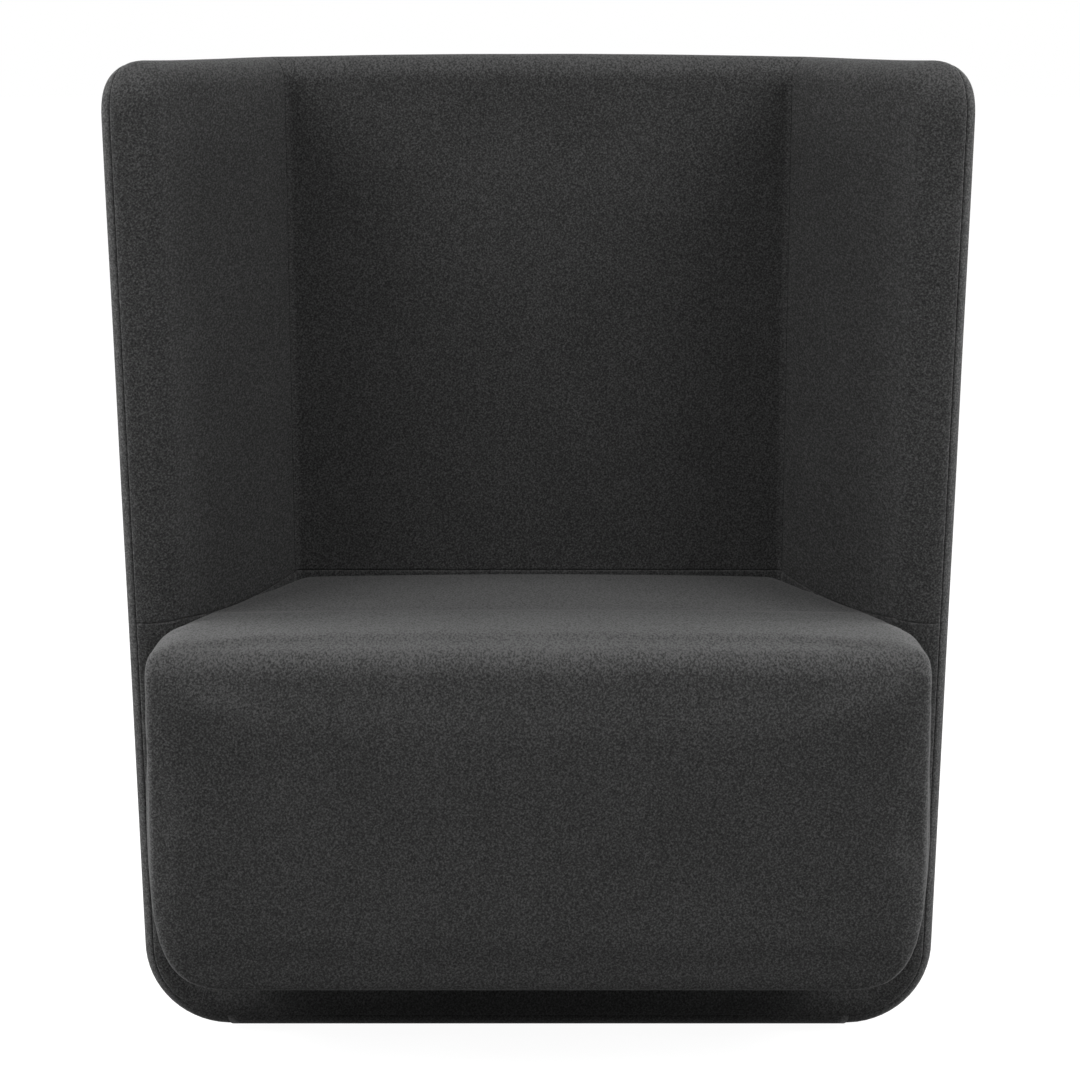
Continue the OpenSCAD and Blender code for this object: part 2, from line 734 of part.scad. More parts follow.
// Side rails, let into the middle former's edges: a pocket is wider by the gap and open outwards
side_rail_z = former_top_z - side_rail_h;
function rail_half(s) = min(box_half(s, side_rail_z), box_half(s, former_top_z));
module rail_blanks(gap, out) {
    low = side_rail_z;
    path = [front_in_s, -side_run, -side_run / 2, 0, rear_former_s];
    both_sides()
        translate([0, 0, floor_gap + low - gap])
            linear_extrude(side_rail_h + gap + out)
                polygon(concat(
                    [for (s = path) [rail_half(s) + out, front_y + s]],
                    [for (i = [len(path) - 1:-1:0])
                        [rail_half(path[i]) - side_rail_t - gap, front_y + path[i]]]
                ));
}
function bottom_half(s) =
    box_half(s, seat_under_z + seat_corner_r) - seat_corner_r;
module bottom_blank(gap, out) {
    path = [front_in_s, -side_run, -side_run / 2, 0, rear_former_s];
    translate([0, 0, floor_gap + box_low_z - out])
        linear_extrude(bottom_t + gap + out)
            polygon(concat(
                [for (s = path) [bottom_half(s) + gap, front_y + s]],
                [for (i = [len(path) - 1:-1:0]) [-bottom_half(path[i]) - gap, front_y + path[i]]]
            ));
}
module seat_front_former() {
    color("burlywood")
        former_plate(front_panel_s, front_panel_s, bent_in, former_top_z);
}
module seat_middle_former() {
    color("burlywood")
        difference() {
            former_plate(side_run, side_run + board_t, former_in, former_top_z);
            rail_blanks(soft_gap, side_rail_t);
            bottom_blank(soft_gap, bottom_t);
        }
}
module seat_rear_former() {
    color("burlywood")
        former_plate(rear_former_s, rear_former_s + board_t, former_in + skin, former_top_z);
}
module seat_side_rails() {
    color("peru")
        rail_blanks(0, 0);
}
module seat_bottom_board() {
    color("burlywood")
        difference() {
            bottom_blank(0, 0);
            at_bolts()
                translate([0, 0, floor_gap + box_low_z - over])
                    cylinder(r = bolt_nut_r + run_gap, h = bottom_t + 2 * over);
        }
}

// Webbing on the seat box
module webbing_long() {
    run = block_half(rear_s, deck_z) * 2 - 2 * former_in;
    color("dimgray")
        for (i = [0:strap_count - 1])
            translate([
                (i - (strap_count - 1) / 2) * run / strap_count - strap_w / 2,
                front_y + front_panel_s, floor_gap + former_top_z])
                cube([strap_w, rear_former_s + board_t - front_panel_s, strap_t]);
}
module webbing_cross() {
    run = rear_former_s - front_in_s;
    color("dimgray")
        for (i = [0:cross_count - 1]) {
            s = front_in_s + (i + 0.5) * run / cross_count;
            half = min(box_half(s - strap_w / 2, deck_z), box_half(s + strap_w / 2, deck_z));
            translate([-half, front_y + s - strap_w / 2, floor_gap + former_top_z + strap_t])
                cube([2 * half, strap_w, strap_t]);
        }
}

// Foam of the shell
function plate_loop(b) = concat(
    [wall_pt(core_s, rail_top_z + soft_gap, b)],
    [for (turn = spread(0, 90, 6)) wall_pt(
        top_corner_r - panel_corner_r * cos(turn),
        shell_h - top_corner_r + panel_corner_r * sin(turn), b)],
    [wall_pt(back_at(shell_h - core_s) + cloth_t, shell_h - core_s, b),
        wall_pt(back_at(rail_top_z) + cloth_t, rail_top_z + soft_gap, b)]
);
module wing_pad() {
    color("khaki")
        rings([plate_loop(core_in_b + soft_gap), plate_loop(wall_x - skin)]);
}
module wing_pad_right() wing_pad();
module wing_pad_left() mirror([1, 0, 0]) wing_pad();

module back_pad() {
    high = shell_h - core_s;
    function corner(z, side, d) = [
        side * (outer_half(z) - core_in_b - soft_gap - splay_x * (back_at(z) + d)),
        front_y + back_at(z) + d, floor_gap + z];
    batten_top = seat_rear_z - seat_foam_t + soft_gap;
    d0 = skin;
    d1 = back_core_d - soft_gap;
    color("khaki")
        rings([for (z = [batten_top, high]) [
            corner(z, 1, d0), corner(z, 1, d1), corner(z, -1, d1), corner(z, -1, d0)]]);
}
module outer_pad() {
    function line(z) = concat(
        [wall_pt(core_s, z, skin)],
        [wall_pt(back_at(z) + back_core_end_d - soft_gap, z, skin),
            wall_pt(back_at(z) + back_core_end_d - soft_gap, z, core_b - soft_gap),
            wall_pt(core_s, z, core_b - soft_gap)]
    );
    function corner_line(turn) =
        let (z = shell_h - top_corner_r + panel_corner_r * sin(turn),
            s = top_corner_r - panel_corner_r * cos(turn))
        [wall_pt(s, z, skin),
            wall_pt(back_at(z) + back_core_end_d - soft_gap, z, skin),
            wall_pt(back_at(z) + back_core_end_d - soft_gap, z, core_b - soft_gap),
            wall_pt(s, z, core_b - soft_gap)];
    color("khaki")
        rings(concat([line(lower_corner_r)], [for (turn = spread(0, 90, 6)) corner_line(turn)]));
}
module outer_pad_right() outer_pad();
module outer_pad_left() mirror([1, 0, 0]) outer_pad();

// Foam of the rolled lower corners: it fills the corner between the base board and the side panel
module sill_roll() {
    foot_half = shell_foot_w / 2;
    board_half = base_half + soft_gap;
    sill_half = foot_half - core_in_b;
    function panel_half(z) =
        foot_half - core_b + soft_gap + max(0, -lean_x * (lower_corner_r - z));
    low = base_z - soft_gap;
    mid = base_top_z - soft_gap;
    high = panel_foot_z - soft_gap - max(0, -board_t * sin(wing_tilt));
    inside = [
        [roll_x, low], [(roll_x + board_half) / 2, low], [board_half, low], [board_half, mid],
        [sill_half, mid], [sill_half, high], [panel_half(high), high],
        [panel_half((high + lower_corner_r) / 2), (high + lower_corner_r) / 2],
        [panel_half(lower_corner_r), lower_corner_r]
    ];
    ends = [core_s, back_at(0) + back_core_end_d - soft_gap];
    color("khaki")
        sheet(
            [for (s = ends) [for (turn = roll_steps) roll_pt(s, turn, skin)]],
            [for (s = ends) [for (p = inside)
                [p[0] - splay_x * s, front_y + s, floor_gap + p[1]]]]
        );
}
module sill_roll_right() sill_roll();
module sill_roll_left() mirror([1, 0, 0]) sill_roll();

// Foam rolls glued along the edges of the boards, half round
function roll_section(st) = [for (turn = full_turns) nose_pt(st, turn, skin)];
edge_stations = concat(
    roll_stations,
    [["wall", seam_front_z], ["wall", shell_h - top_corner_r]],
    corner_stations,
    [["top", 0.5], ["top", top_share]]
);
module edge_roll() {
    color("khaki")
        rings([for (st = edge_stations) roll_section(st)]);
}
module edge_roll_right() edge_roll();
module edge_roll_left() mirror([1, 0, 0]) edge_roll();
module base_edge_roll() {
    color("khaki")
        rings([for (x = spread(-roll_x + soft_gap, roll_x - soft_gap, 2)) roll_section(["foot", x])]);
}

// Sections across the back: turn goes round a back corner from the wing (0) to the back (90)
function corner_in(turn, z) = [
    outer_half(z) - wall_x - crease_r * (1 - cos(turn)), back_at(z) - crease_r * (1 - sin(turn))];
function corner_out(turn, z) = [
    outer_half(z) - back_edge_r * (1 - cos(turn)),
    back_at(z) + back_t - back_edge_r * (1 - sin(turn))];
// Sheared over to the splay of the wings, which dies out towards the middle of the back
function shear(x, s, half) = x - splay_x * s * min(1, x / half);
function across(share, turn, z, u) =
    let (a = corner_out(turn, z),
        b = corner_in(turn, z),
        p = a + (b - a) * u,
        half = outer_half(z) - wall_x - crease_r)
    [shear(p[0] * share, p[1], half), p[1]];
function back_thick(turn, z) = norm(corner_out(turn, z) - corner_in(turn, z));
// A point on the top edge: nose turn as on the wings
function back_nose(share, turn, nose, cut, side) =
    let (z = shell_h - edge_r + (edge_r - cut) * cos(nose),
        u = 0.5 + (0.5 - cut / back_thick(turn, z)) * sin(nose),
        p = across(share, turn, z, u))
    [side * p[0], front_y + p[1], floor_gap + z];
function back_face(share, turn, z, cut, side) =
    let (p = across(share, turn, z, 1 - cut / back_thick(turn, z)))
    [side * p[0], front_y + p[1], floor_gap + z];
fan_turns = spread(0, 90, 5);
back_sections = concat(
    [for (turn = fan_turns) [1, turn, 1]],
    [[0.5, 90, 1], [0, 90, 1], [0.5, 90, -1]],
    [for (i = [len(fan_turns) - 1:-1:0]) [1, fan_turns[i], -1]]
);
back_seam_turn = asin(2 * seam_inset / back_t - 1);
back_turns = spread(back_seam_turn, 90, 6);
module back_edge_roll() {
    color("khaki")
        rings([for (c = back_sections)
            [for (nose = full_turns) back_nose(c[0], c[1], nose, roll_skin, c[2])]]);
}

// Fabric of the shell, inside
module wing_cover() {
    rows = concat([[["wall", seam_front_z], seam_rear_z]], upper_rows);
    function grid(cut) = [for (row = rows) concat(
        [for (turn = inner_turns) nose_pt(row[0], turn, cut)],
        [wall_pt(back_at(row[1]) - crease_r - soft_gap, row[1], wall_x - cut)]
    )];
    color("dimgray")
        sheet(grid(0), grid(cloth_t));
}
module wing_cover_right() wing_cover();
module wing_cover_left() mirror([1, 0, 0]) wing_cover();

module back_cover() {
    function grid(cut) = [for (c = back_sections) concat(
        [for (nose = back_turns) back_nose(c[0], c[1], nose, cut, c[2])],
        [back_face(c[0], c[1], seam_rear_z, cut, c[2])]
    )];
    color("dimgray")
        sheet(grid(0), grid(cloth_t));
}

// Below the seam: on the wings' front edges and rolled corners, and on the back behind the seat
lower_flap = soft_gap;
module lower_cover() {
    rows = concat(
        [for (st = roll_stations) [st, 0]],
        [[["wall", rail_top_z + soft_gap], 0]],
        [[["wall", rail_top_z + edge_r], rail_top_z + skin]],
        [[["wall", seam_front_z - soft_gap], seam_rear_z - soft_gap]]
    );
    function grid(cut) = [for (row = rows) concat(
        [for (turn = inner_turns) nose_pt(row[0], turn, cut)],
        [row[1] == 0 ? edge_pt(row[0], edge_r + lower_flap, wall_x - cut) :
            wall_pt(back_at(row[1]) - crease_r - soft_gap, row[1], wall_x - cut)]
    )];
    color("dimgray")
        sheet(grid(0), grid(cloth_t));
}
module lower_cover_right() lower_cover();
module lower_cover_left() mirror([1, 0, 0]) lower_cover();

module back_lower_cover() {
    function grid(cut) = [for (c = back_sections) [
        back_face(c[0], c[1], seam_rear_z - soft_gap, cut, c[2]),
        back_face(c[0], c[1], rail_top_z + soft_gap, cut, c[2])]];
    color("dimgray")
        sheet(grid(0), grid(cloth_t));
}

// Fabric of the shell, outside
module outer_cover() {
    rows = concat(
        [for (st = roll_stations) [st, st[1]]],
        upper_rows
    );
    function far(st, z, cut) = st[0] == "roll" ?
        roll_pt(back_at(turned_z(st[1], cut)) + back_core_end_d - skin, st[1], cut) :
        wall_pt(back_at(z) + back_core_end_d - skin, z, cut);
    function grid(cut) = [for (row = rows) concat(
        [far(row[0], row[1], cut)],
        [for (turn = outer_turns) nose_pt(row[0], turn + (turn == seam_turn ? -seam_slit : 0), cut)]
    )];
    color("dimgray")
        sheet(grid(0), grid(cloth_t));
}
// Angle left open at the edge seam, so that the two fabrics meet without overlapping
seam_slit = 1;
module outer_cover_right() outer_cover();
module outer_cover_left() mirror([1, 0, 0]) outer_cover();

// Outline of the back, from its foot round to the middle of its top. A place on the corner
// starts at a turn round it and a turn over the top edge; its column ends lower down.
corner_starts = [
    [0, -90], [0, (back_seam_turn - 90) / 2], [0, back_seam_turn],
    [30, back_seam_turn], [60, back_seam_turn]
];
corner_drop = edge_r / 2;
back_rim = concat(
    roll_stations,
    [["wall", shell_h / 2]],
    [for (i = [0:len(corner_starts) - 1]) ["corner", corner_starts[i],
        corner_drop * (1 - i / len(corner_starts))]],
    [["top", 1], ["top", 0.5], ["top", 0]]
);
// A point on the outer back: from the joint with the sides (0) round to the flat rear face (1)
function rim_pt(st, step, cut) =
    let (turn = 90 * step,
        inset = cut + (back_edge_r - cut) * (1 - cos(turn)),
        d = back_core_end_d + (back_edge_r - cut) * sin(turn),
        seam = back_seam_turn - seam_slit)
    st[0] == "roll" ? roll_pt(back_at(turned_z(st[1], inset)) + d, st[1], inset) :
    st[0] == "wall" ? wall_pt(back_at(st[1]) + d, st[1], inset) :
    st[0] == "corner" ?
        back_nose(1, st[1][0] + (90 - st[1][0]) * step,
            min(st[1][1], seam) + (-90 - min(st[1][1], seam)) * step, cut, 1)
            - [0, lean_y * st[2] * step, st[2] * step] :
    back_nose(st[1], 90, seam + (-90 - seam) * step, cut, 1);
function mirror_loop(half, last) =
    concat(half, [for (i = [last:-1:0]) [-half[i][0], half[i][1], half[i][2]]]);
rim_steps = [0, 0.25, 0.5, 0.75, 1];
function back_dish(cut) = [for (step = rim_steps)
    let (half = [for (st = back_rim) rim_pt(st, step, cut)])
    mirror_loop(half, len(half) - 2)];
module back_outer_cover() {
    color("dimgray")
        dish(back_dish(0), back_dish(cloth_t));
}
module back_outer_pad() {
    rim = concat(roll_stations, [["wall", shell_h / 2], ["wall", shell_h - core_s - corner_drop]]);
    function ring(step) =
        let (half = [for (st = rim) rim_pt(st, step, 2 * skin) + [0, step == 0 ? soft_gap : 0, 0]])
        mirror_loop(half, len(half) - 1);
    color("khaki")
        rings([for (step = rim_steps) ring(step)]);
}

// Fabric round the foot of the front, on the riser, and under the base
module base_cover() {
    function row(x, cut) = concat(
        [foot_pt(edge_r + flap_l, x, base_z - cloth_t - soft_gap + cut)],
        [for (turn = full_turns) nose_pt(["foot", x], turn, cut)]
    );
    xs = spread(-roll_x + soft_gap, roll_x - soft_gap, 2);
    color("dimgray")
        sheet([for (x = xs) row(x, 0)], [for (x = xs) row(x, cloth_t)]);
}
module riser_cover() {
    low = base_top_z + soft_gap;
    half = base_x(sill_x, core_s) - soft_gap;
    color("dimgray")
        translate([-half, front_y + core_s + soft_gap, floor_gap + low])
            cube([2 * half, cloth_t, rail_top_z - low]);
}
module dust_cover() {
    z = floor_gap + base_z - cloth_t;
    s0 = core_s + flap_l;
    s1 = base_end_s;
    color("black")
        difference() {
            translate([0, 0, z])
                linear_extrude(cloth_t)
                    base_plan(roll_x * (1 - splay_x * s0 / roll_x) - soft_gap,
                        roll_x * (1 - splay_x * s1 / roll_x) - soft_gap, s0, s1);
            at_glides()
                translate([0, 0, z - over])
                    cylinder(r = pad_r, h = cloth_t + 2 * over);
            at_bolts()
                translate([0, 0, z - over])
                    cylinder(r = washer_r + soft_gap, h = cloth_t + 2 * over);
        }
}

// Bolts that hold the seat block down on the base
bolt_head_r = bolt_r * 1.6;
bolt_head_t = bolt_r * 1.1;
bolt_low_z = base_z - washer_t;
bolt_top_z = box_low_z + bottom_t + washer_t;
module seat_bolts() {
    color("silver")
        at_bolts() {
            translate([0, 0, floor_gap + bolt_low_z])
                cylinder(r = bolt_r, h = bolt_top_z - bolt_low_z);
            translate([0, 0, floor_gap + bolt_low_z - bolt_head_t])
                cylinder(r = bolt_head_r, h = bolt_head_t);
        }
}
module seat_bolt_washers() {
    color("silver")
        at_bolts()
            translate([0, 0, floor_gap + bolt_low_z])
                difference() {
                    cylinder(r = washer_r, h = washer_t);
                    translate([0, 0, -over])
                        cylinder(r = bolt_r + run_gap, h = washer_t + 2 * over);
                }
}
module seat_bolt_nuts() {
    color("silver")
        at_bolts()
            translate([0, 0, floor_gap + box_low_z])
                difference() {
                    union() {
                        cylinder(r = bolt_nut_r, h = bottom_t);
                        translate([0, 0, bottom_t])
                            cylinder(r = bolt_nut_r + flange_w, h = washer_t);
                    }
                    translate([0, 0, -over])
                        cylinder(r = bolt_r + run_gap, h = bottom_t + washer_t + 2 * over);
                }
}

// Levelling glides
module glide_nuts() {
    color("silver")
        at_glides()
            difference() {
                union() {
                    translate([0, 0, floor_gap + base_z])
                        cylinder(r = nut_r, h = board_t);
                    translate([0, 0, floor_gap + base_top_z - washer_t])
                        cylinder(r = nut_flange_r, h = washer_t);
                }
                translate([0, 0, floor_gap + base_z - over])
                    cylinder(r = stem_r + run_gap, h = board_t + 2 * over);
            }
}
socket_r = stem_r - socket_step;
module glide_pad(x, s) {
    color("black")
        translate([x, front_y + s, 0])
            difference() {
                union() {
                    cylinder(r = pad_r, h = pad_t / 2);
                    translate([0, 0, pad_t / 2])
                        cylinder(r1 = pad_r, r2 = pad_r - pad_t / 2, h = pad_t / 2);
                }
                translate([0, 0, pad_t - socket_h])
                    cylinder(r = socket_r + run_gap, h = socket_h + over);
            }
}
hex_h = (floor_gap + base_z - pad_t) / 2;
module glide_stem(x, s) {
    color("silver")
        translate([x, front_y + s, 0]) {
            translate([0, 0, pad_t - socket_h + run_gap])
                cylinder(r = socket_r, h = socket_h);
            translate([0, 0, pad_t + run_gap])
                cylinder(r = hex_w / 2 / cos(30), h = hex_h, $fn = 6);
            translate([0, 0, pad_t + run_gap])
                cylinder(r = stem_r, h = stem_l - run_gap);
        }
}
module glide_pad_fr() glide_pad(glide_front_x, glide_front_s);
module glide_pad_fl() glide_pad(-glide_front_x, glide_front_s);
module glide_pad_rr() glide_pad(glide_rear_x, glide_rear_s);
module glide_pad_rl() glide_pad(-glide_rear_x, glide_rear_s);
module glide_stem_fr() glide_stem(glide_front_x, glide_front_s);
module glide_stem_fl() glide_stem(-glide_front_x, glide_front_s);
module glide_stem_rr() glide_stem(glide_rear_x, glide_rear_s);
module glide_stem_rl() glide_stem(-glide_rear_x, glide_rear_s);

base_board();
base_front_rail();
base_rear_rail();
base_centre_rail();
side_sills();
corner_battens();
side_panel_right();
side_panel_left();
back_board();
seat_front_former();
seat_middle_former();
seat_rear_former();
seat_side_rails();
seat_bottom_board();
seat_wrap_board();
webbing_long();
webbing_cross();
seat_foam();
seat_front_foam();
seat_wrap_foam();
wing_pad_right();
wing_pad_left();
back_pad();
outer_pad_right();
outer_pad_left();
back_outer_pad();
sill_roll_right();
sill_roll_left();
edge_roll_right();
edge_roll_left();
back_edge_roll();
base_edge_roll();
seat_cover();
wing_cover_right();
wing_cover_left();
back_cover();
lower_cover_right();
lower_cover_left();
back_lower_cover();
outer_cover_right();
outer_cover_left();
back_outer_cover();
base_cover();
riser_cover();
dust_cover();
seat_bolts();
seat_bolt_washers();
seat_bolt_nuts();
panel_screws();
glide_nuts();
glide_pad_fr();
glide_pad_fl();
glide_pad_rr();
glide_pad_rl();
glide_stem_fr();
glide_stem_fl();
glide_stem_rr();
glide_stem_rl();
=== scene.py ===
import bmesh
import bpy
import mathutils
import numpy as np
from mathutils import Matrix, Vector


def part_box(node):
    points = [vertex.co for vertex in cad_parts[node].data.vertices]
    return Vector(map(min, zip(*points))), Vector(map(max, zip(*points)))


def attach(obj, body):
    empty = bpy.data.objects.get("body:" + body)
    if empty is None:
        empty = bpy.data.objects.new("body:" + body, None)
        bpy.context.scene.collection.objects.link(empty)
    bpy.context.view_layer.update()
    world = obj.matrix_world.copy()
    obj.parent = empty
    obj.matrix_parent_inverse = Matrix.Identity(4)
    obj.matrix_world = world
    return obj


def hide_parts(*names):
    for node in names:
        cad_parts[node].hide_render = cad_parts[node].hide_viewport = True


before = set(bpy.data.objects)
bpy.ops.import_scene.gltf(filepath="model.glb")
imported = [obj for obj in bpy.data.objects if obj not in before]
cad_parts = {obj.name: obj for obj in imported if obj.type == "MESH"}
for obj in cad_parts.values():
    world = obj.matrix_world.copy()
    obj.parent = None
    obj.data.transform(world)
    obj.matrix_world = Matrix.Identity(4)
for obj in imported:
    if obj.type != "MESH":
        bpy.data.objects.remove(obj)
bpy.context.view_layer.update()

# Levelling glides
# Four nylon pads on zinc-plated threaded stems, screwed into flanged inserts in the base board.
# They are turned parts whose CAD shapes are right, so they only get their finishes here.

MM = 0.001
METRE = 1000.0


def linear(hex_colour):
    """A colour written as it looks on a screen, as the linear values that the shaders work in."""
    parts = np.array([int(hex_colour[i:i + 2], 16) for i in (1, 3, 5)]) / 255
    return (*np.where(parts <= 0.04045, parts / 12.92, ((parts + 0.055) / 1.055) ** 2.4), 1.0)


def add(tree, kind, settings=None, stops=(), **inputs):
    """Adds a node. An input, named in words or by its number as i0, is linked to a node or a socket, or
    set to a value. The stops of a ramp are places with their colours."""
    node = tree.nodes.new("ShaderNode" + kind)
    for key, value in (settings or {}).items():
        setattr(node, key, value)
    for key, value in inputs.items():
        socket = node.inputs[int(key[1:]) if key[1:].isdigit() else key.replace("_", " ")]
        value = value.outputs[0] if isinstance(value, bpy.types.Node) else value
        if isinstance(value, bpy.types.NodeSocket):
            tree.links.new(value, socket)
        else:
            socket.default_value = value
    for i, (place, colour) in enumerate(stops):
        stop = node.color_ramp.elements[i] if i < 2 else node.color_ramp.elements.new(place)
        stop.position, stop.color = place, linear(colour)
    return node


def material(name, **fixed):
    """A new material and its tree. What is the same all over is set on the shader's own sockets."""
    made = bpy.data.materials.new(name)
    made.use_nodes = True
    for socket, value in fixed.items():
        made.node_tree.nodes["Principled BSDF"].inputs[socket.replace("_", " ")].default_value = value
    return made, made.node_tree


def surface(tree, colour, bump):
    """Links a colour and a bump to the shader of a material."""
    shader = tree.nodes["Principled BSDF"]
    tree.links.new(colour.outputs[0], shader.inputs["Base Color"])
    tree.links.new(bump.outputs[0], shader.inputs["Normal"])


def nylon():
    """Moulded nylon: nearly black and half matt, with the fine spark-eroded grain of its mould."""
    made, tree = material("nylon_black", Roughness=0.5, Specular_IOR_Level=0.4)
    place = add(tree, "TexCoord").outputs["Object"]
    grain = add(tree, "TexNoise", Vector=place, Scale=METRE / 0.4, Detail=3.0)
    cloud = add(tree, "TexNoise", Vector=place, Scale=METRE / 17, Detail=3.0)
    surface(tree, add(tree, "ValToRGB", stops=((0.3, "#141414"), (0.7, "#1d1d1d")), Fac=cloud),
            add(tree, "Bump", Height=grain, Strength=0.25, Distance=0.2 * MM))
    return made


def zinc_plate():
    """Zinc plate on turned steel: bright grey metal with faint clouds, and marks of the lathe that
    ring the axis and catch the light."""
    made, tree = material("zinc_plate", Roughness=0.32, Metallic=1.0)
    place = add(tree, "TexCoord").outputs["Object"]
    flat = add(tree, "Mapping", Vector=place, Scale=(1, 1, 40))
    rings = add(tree, "TexNoise", Vector=flat, Scale=METRE / 11, Detail=2.0)
    cloud = add(tree, "TexNoise", Vector=place, Scale=METRE / 8, Detail=4.0, Roughness=0.6)
    surface(tree, add(tree, "ValToRGB", stops=((0.3, "#b9bcc0"), (0.7, "#d4d6d9")), Fac=cloud),
            add(tree, "Bump", Height=rings, Strength=0.15, Distance=0.2 * MM))
    return made


def finish_nodes(names, finish):
    """Gives CAD nodes one material in every slot."""
    for name in names:
        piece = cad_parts[name]
        if not piece.material_slots:
            piece.data.materials.append(finish)
        for slot in piece.material_slots:
            slot.material = finish


CORNERS = ("fr", "fl", "rr", "rl")
finish_nodes([f"glide_pad_{corner}" for corner in CORNERS], nylon())
ZINC = zinc_plate()
finish_nodes([f"glide_stem_{corner}" for corner in CORNERS] + ["glide_nuts"], ZINC)

# Screws and bolts
# Countersunk panel screws, and the bolts, washers and flanged inserts that hold the seat block
# down on the base. All are zinc-plated steel.

finish_nodes(["panel_screws", "seat_bolts", "seat_bolt_washers", "seat_bolt_nuts"], ZINC)

# Base frame and shell boards
# Birch plywood boards: the base board, the two side panels and the back board. Their faces show
# long pale grain, and the hidden rails, sills and battens are sawn beech.


def board_wood(name, dark, light, grain):
    """Wood planed or peeled along its grain: long streaks and pores that way, and a slow cloud of tone.
    grain holds the stretch along X, Y and Z, small along the grain."""
    made, tree = material(name, Roughness=0.6, Specular_IOR_Level=0.3)
    place = add(tree, "TexCoord").outputs["Object"]
    along = add(tree, "Mapping", Vector=place, Scale=grain)
    streaks = add(tree, "TexNoise", Vector=along, Scale=METRE / 38, Detail=5.0, Roughness=0.6,
                  Distortion=0.4)
    pores = add(tree, "TexNoise", Vector=along, Scale=METRE / 3.7, Detail=2.0)
    cloud = add(tree, "TexNoise", Vector=place, Scale=METRE / 330, Detail=2.0)
    tone = add(tree, "Math", {"operation": "MULTIPLY_ADD"}, i0=cloud, i1=0.35, i2=streaks)
    tone = add(tree, "Math", {"operation": "MULTIPLY_ADD"}, i0=pores, i1=0.2, i2=tone)
    waves = add(tree, "Bump", Height=streaks, Strength=0.12, Distance=0.6 * MM)
    surface(tree, add(tree, "ValToRGB", stops=((0.45, dark), (0.95, light)), Fac=tone),
            add(tree, "Bump", Height=pores, Strength=0.15, Distance=0.2 * MM, Normal=waves))
    return made


finish_nodes(["base_board", "back_board"], board_wood("birch_ply", "#b08a58", "#d9bc8c", (0.12, 1, 1)))
finish_nodes(["side_panel_right", "side_panel_left"],
             board_wood("birch_ply_upright", "#b08a58", "#d9bc8c", (1, 1, 0.12)))
finish_nodes(["base_front_rail", "base_rear_rail"], board_wood("beech", "#9a6f45", "#c79a6a", (0.1, 1, 1)))
finish_nodes(["base_centre_rail", "side_sills"],
             board_wood("beech_lengthwise", "#9a6f45", "#c79a6a", (1, 0.1, 1)))
finish_nodes(["corner_battens"], board_wood("beech_upright", "#9a6f45", "#c79a6a", (1, 1, 0.1)))

# Seat box
# Three plywood formers, two side rails and a bottom board, with thin plywood bent round them.
# The box is hidden in the upholstered seat block.

finish_nodes(["seat_front_former", "seat_middle_former", "seat_rear_former", "seat_bottom_board"],
             board_wood("seat_ply", "#b08a58", "#d9bc8c", (0.12, 1, 1)))
finish_nodes(["seat_side_rails"], board_wood("seat_beech", "#9a6f45", "#c79a6a", (1, 0.1, 1)))
finish_nodes(["seat_wrap_board"], board_wood("bending_ply", "#b9935f", "#dcc193", (1, 0.12, 1)))

# Webbing
# Black elastic webbing, seven straps along and five across, woven over and under one another and
# stapled to the seat box. Ribbed threads run along each strap.


def closed_faces(rows, columns):
    """The quads of a closed skin between two grids, outer and inner: over both, and round their rim."""
    index = np.arange(rows * columns).reshape(rows, columns)
    faces = np.stack([index[:-1, :-1], index[:-1, 1:], index[1:, 1:], index[1:, :-1]], -1).reshape(-1, 4)
    ring = np.concatenate([index[0, :-1], index[:-1, -1], index[-1, :0:-1], index[:0:-1, 0]])
    following = np.roll(ring, -1)
    shift = rows * columns
    rim = np.stack([following, ring, ring + shift, following + shift], -1)
    return np.concatenate([faces, faces[:, ::-1] + shift, rim])


def closed_piece(name, outside, inside, finish, slot):
    """A closed skin between two grids of points, in millimetres."""
    return skin_mesh(name, np.concatenate([outside.reshape(-1, 3), inside.reshape(-1, 3)]),
                     closed_faces(*outside.shape[:2]), finish)


def skin_mesh(name, points, faces, finish):
    """A mesh from points in millimetres and quads, turned so that its faces point outwards: the signed
    volume of the cones from the origin to its faces is then above zero."""
    a, b, c = (points[faces[:, i]] for i in range(3))
    d = points[faces[:, 3]]
    volume = np.einsum("ij,ij->i", np.cross(a, b), c).sum() + np.einsum("ij,ij->i", np.cross(a, c), d).sum()
    if volume < 0:
        faces = faces[:, ::-1]
    mesh = bpy.data.meshes.new(name)
    mesh.from_pydata((points * MM).tolist(), [], faces.tolist())
    mesh.polygons.foreach_set("use_smooth", np.ones(len(faces), bool))
    mesh.materials.append(finish)
    piece = bpy.data.objects.new(name, mesh)
    bpy.context.scene.collection.objects.link(piece)
    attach(piece, "chair")
    return piece


def steps(*stretches):
    """Numbers from one stop to the next, each stretch given as its start, end and count."""
    parts = [np.linspace(a, b, n, endpoint=False) for a, b, n in stretches]
    return np.concatenate(parts + [[stretches[-1][1]]])


def webbing():
    """Webbing of rubber and black polyester: matt, with a weave of small square cells and loose fuzz."""
    made, tree = material("webbing_black", Roughness=0.8, Specular_IOR_Level=0.2)
    place = add(tree, "TexCoord").outputs["Object"]
    weave = add(tree, "TexChecker", Vector=place, Scale=METRE / 1.4)
    fuzz = add(tree, "TexNoise", Vector=place, Scale=METRE / 1.1, Detail=3.0)
    tone = add(tree, "TexNoise", Vector=place, Scale=METRE / 3.3, Detail=3.0)
    cells = add(tree, "Bump", Height=weave.outputs["Fac"], Strength=0.4, Distance=0.4 * MM)
    surface(tree, add(tree, "ValToRGB", stops=((0.3, "#151515"), (0.7, "#2a2a2a")), Fac=tone),
            add(tree, "Bump", Height=fuzz, Strength=0.3, Distance=0.2 * MM, Normal=cells))
    return made


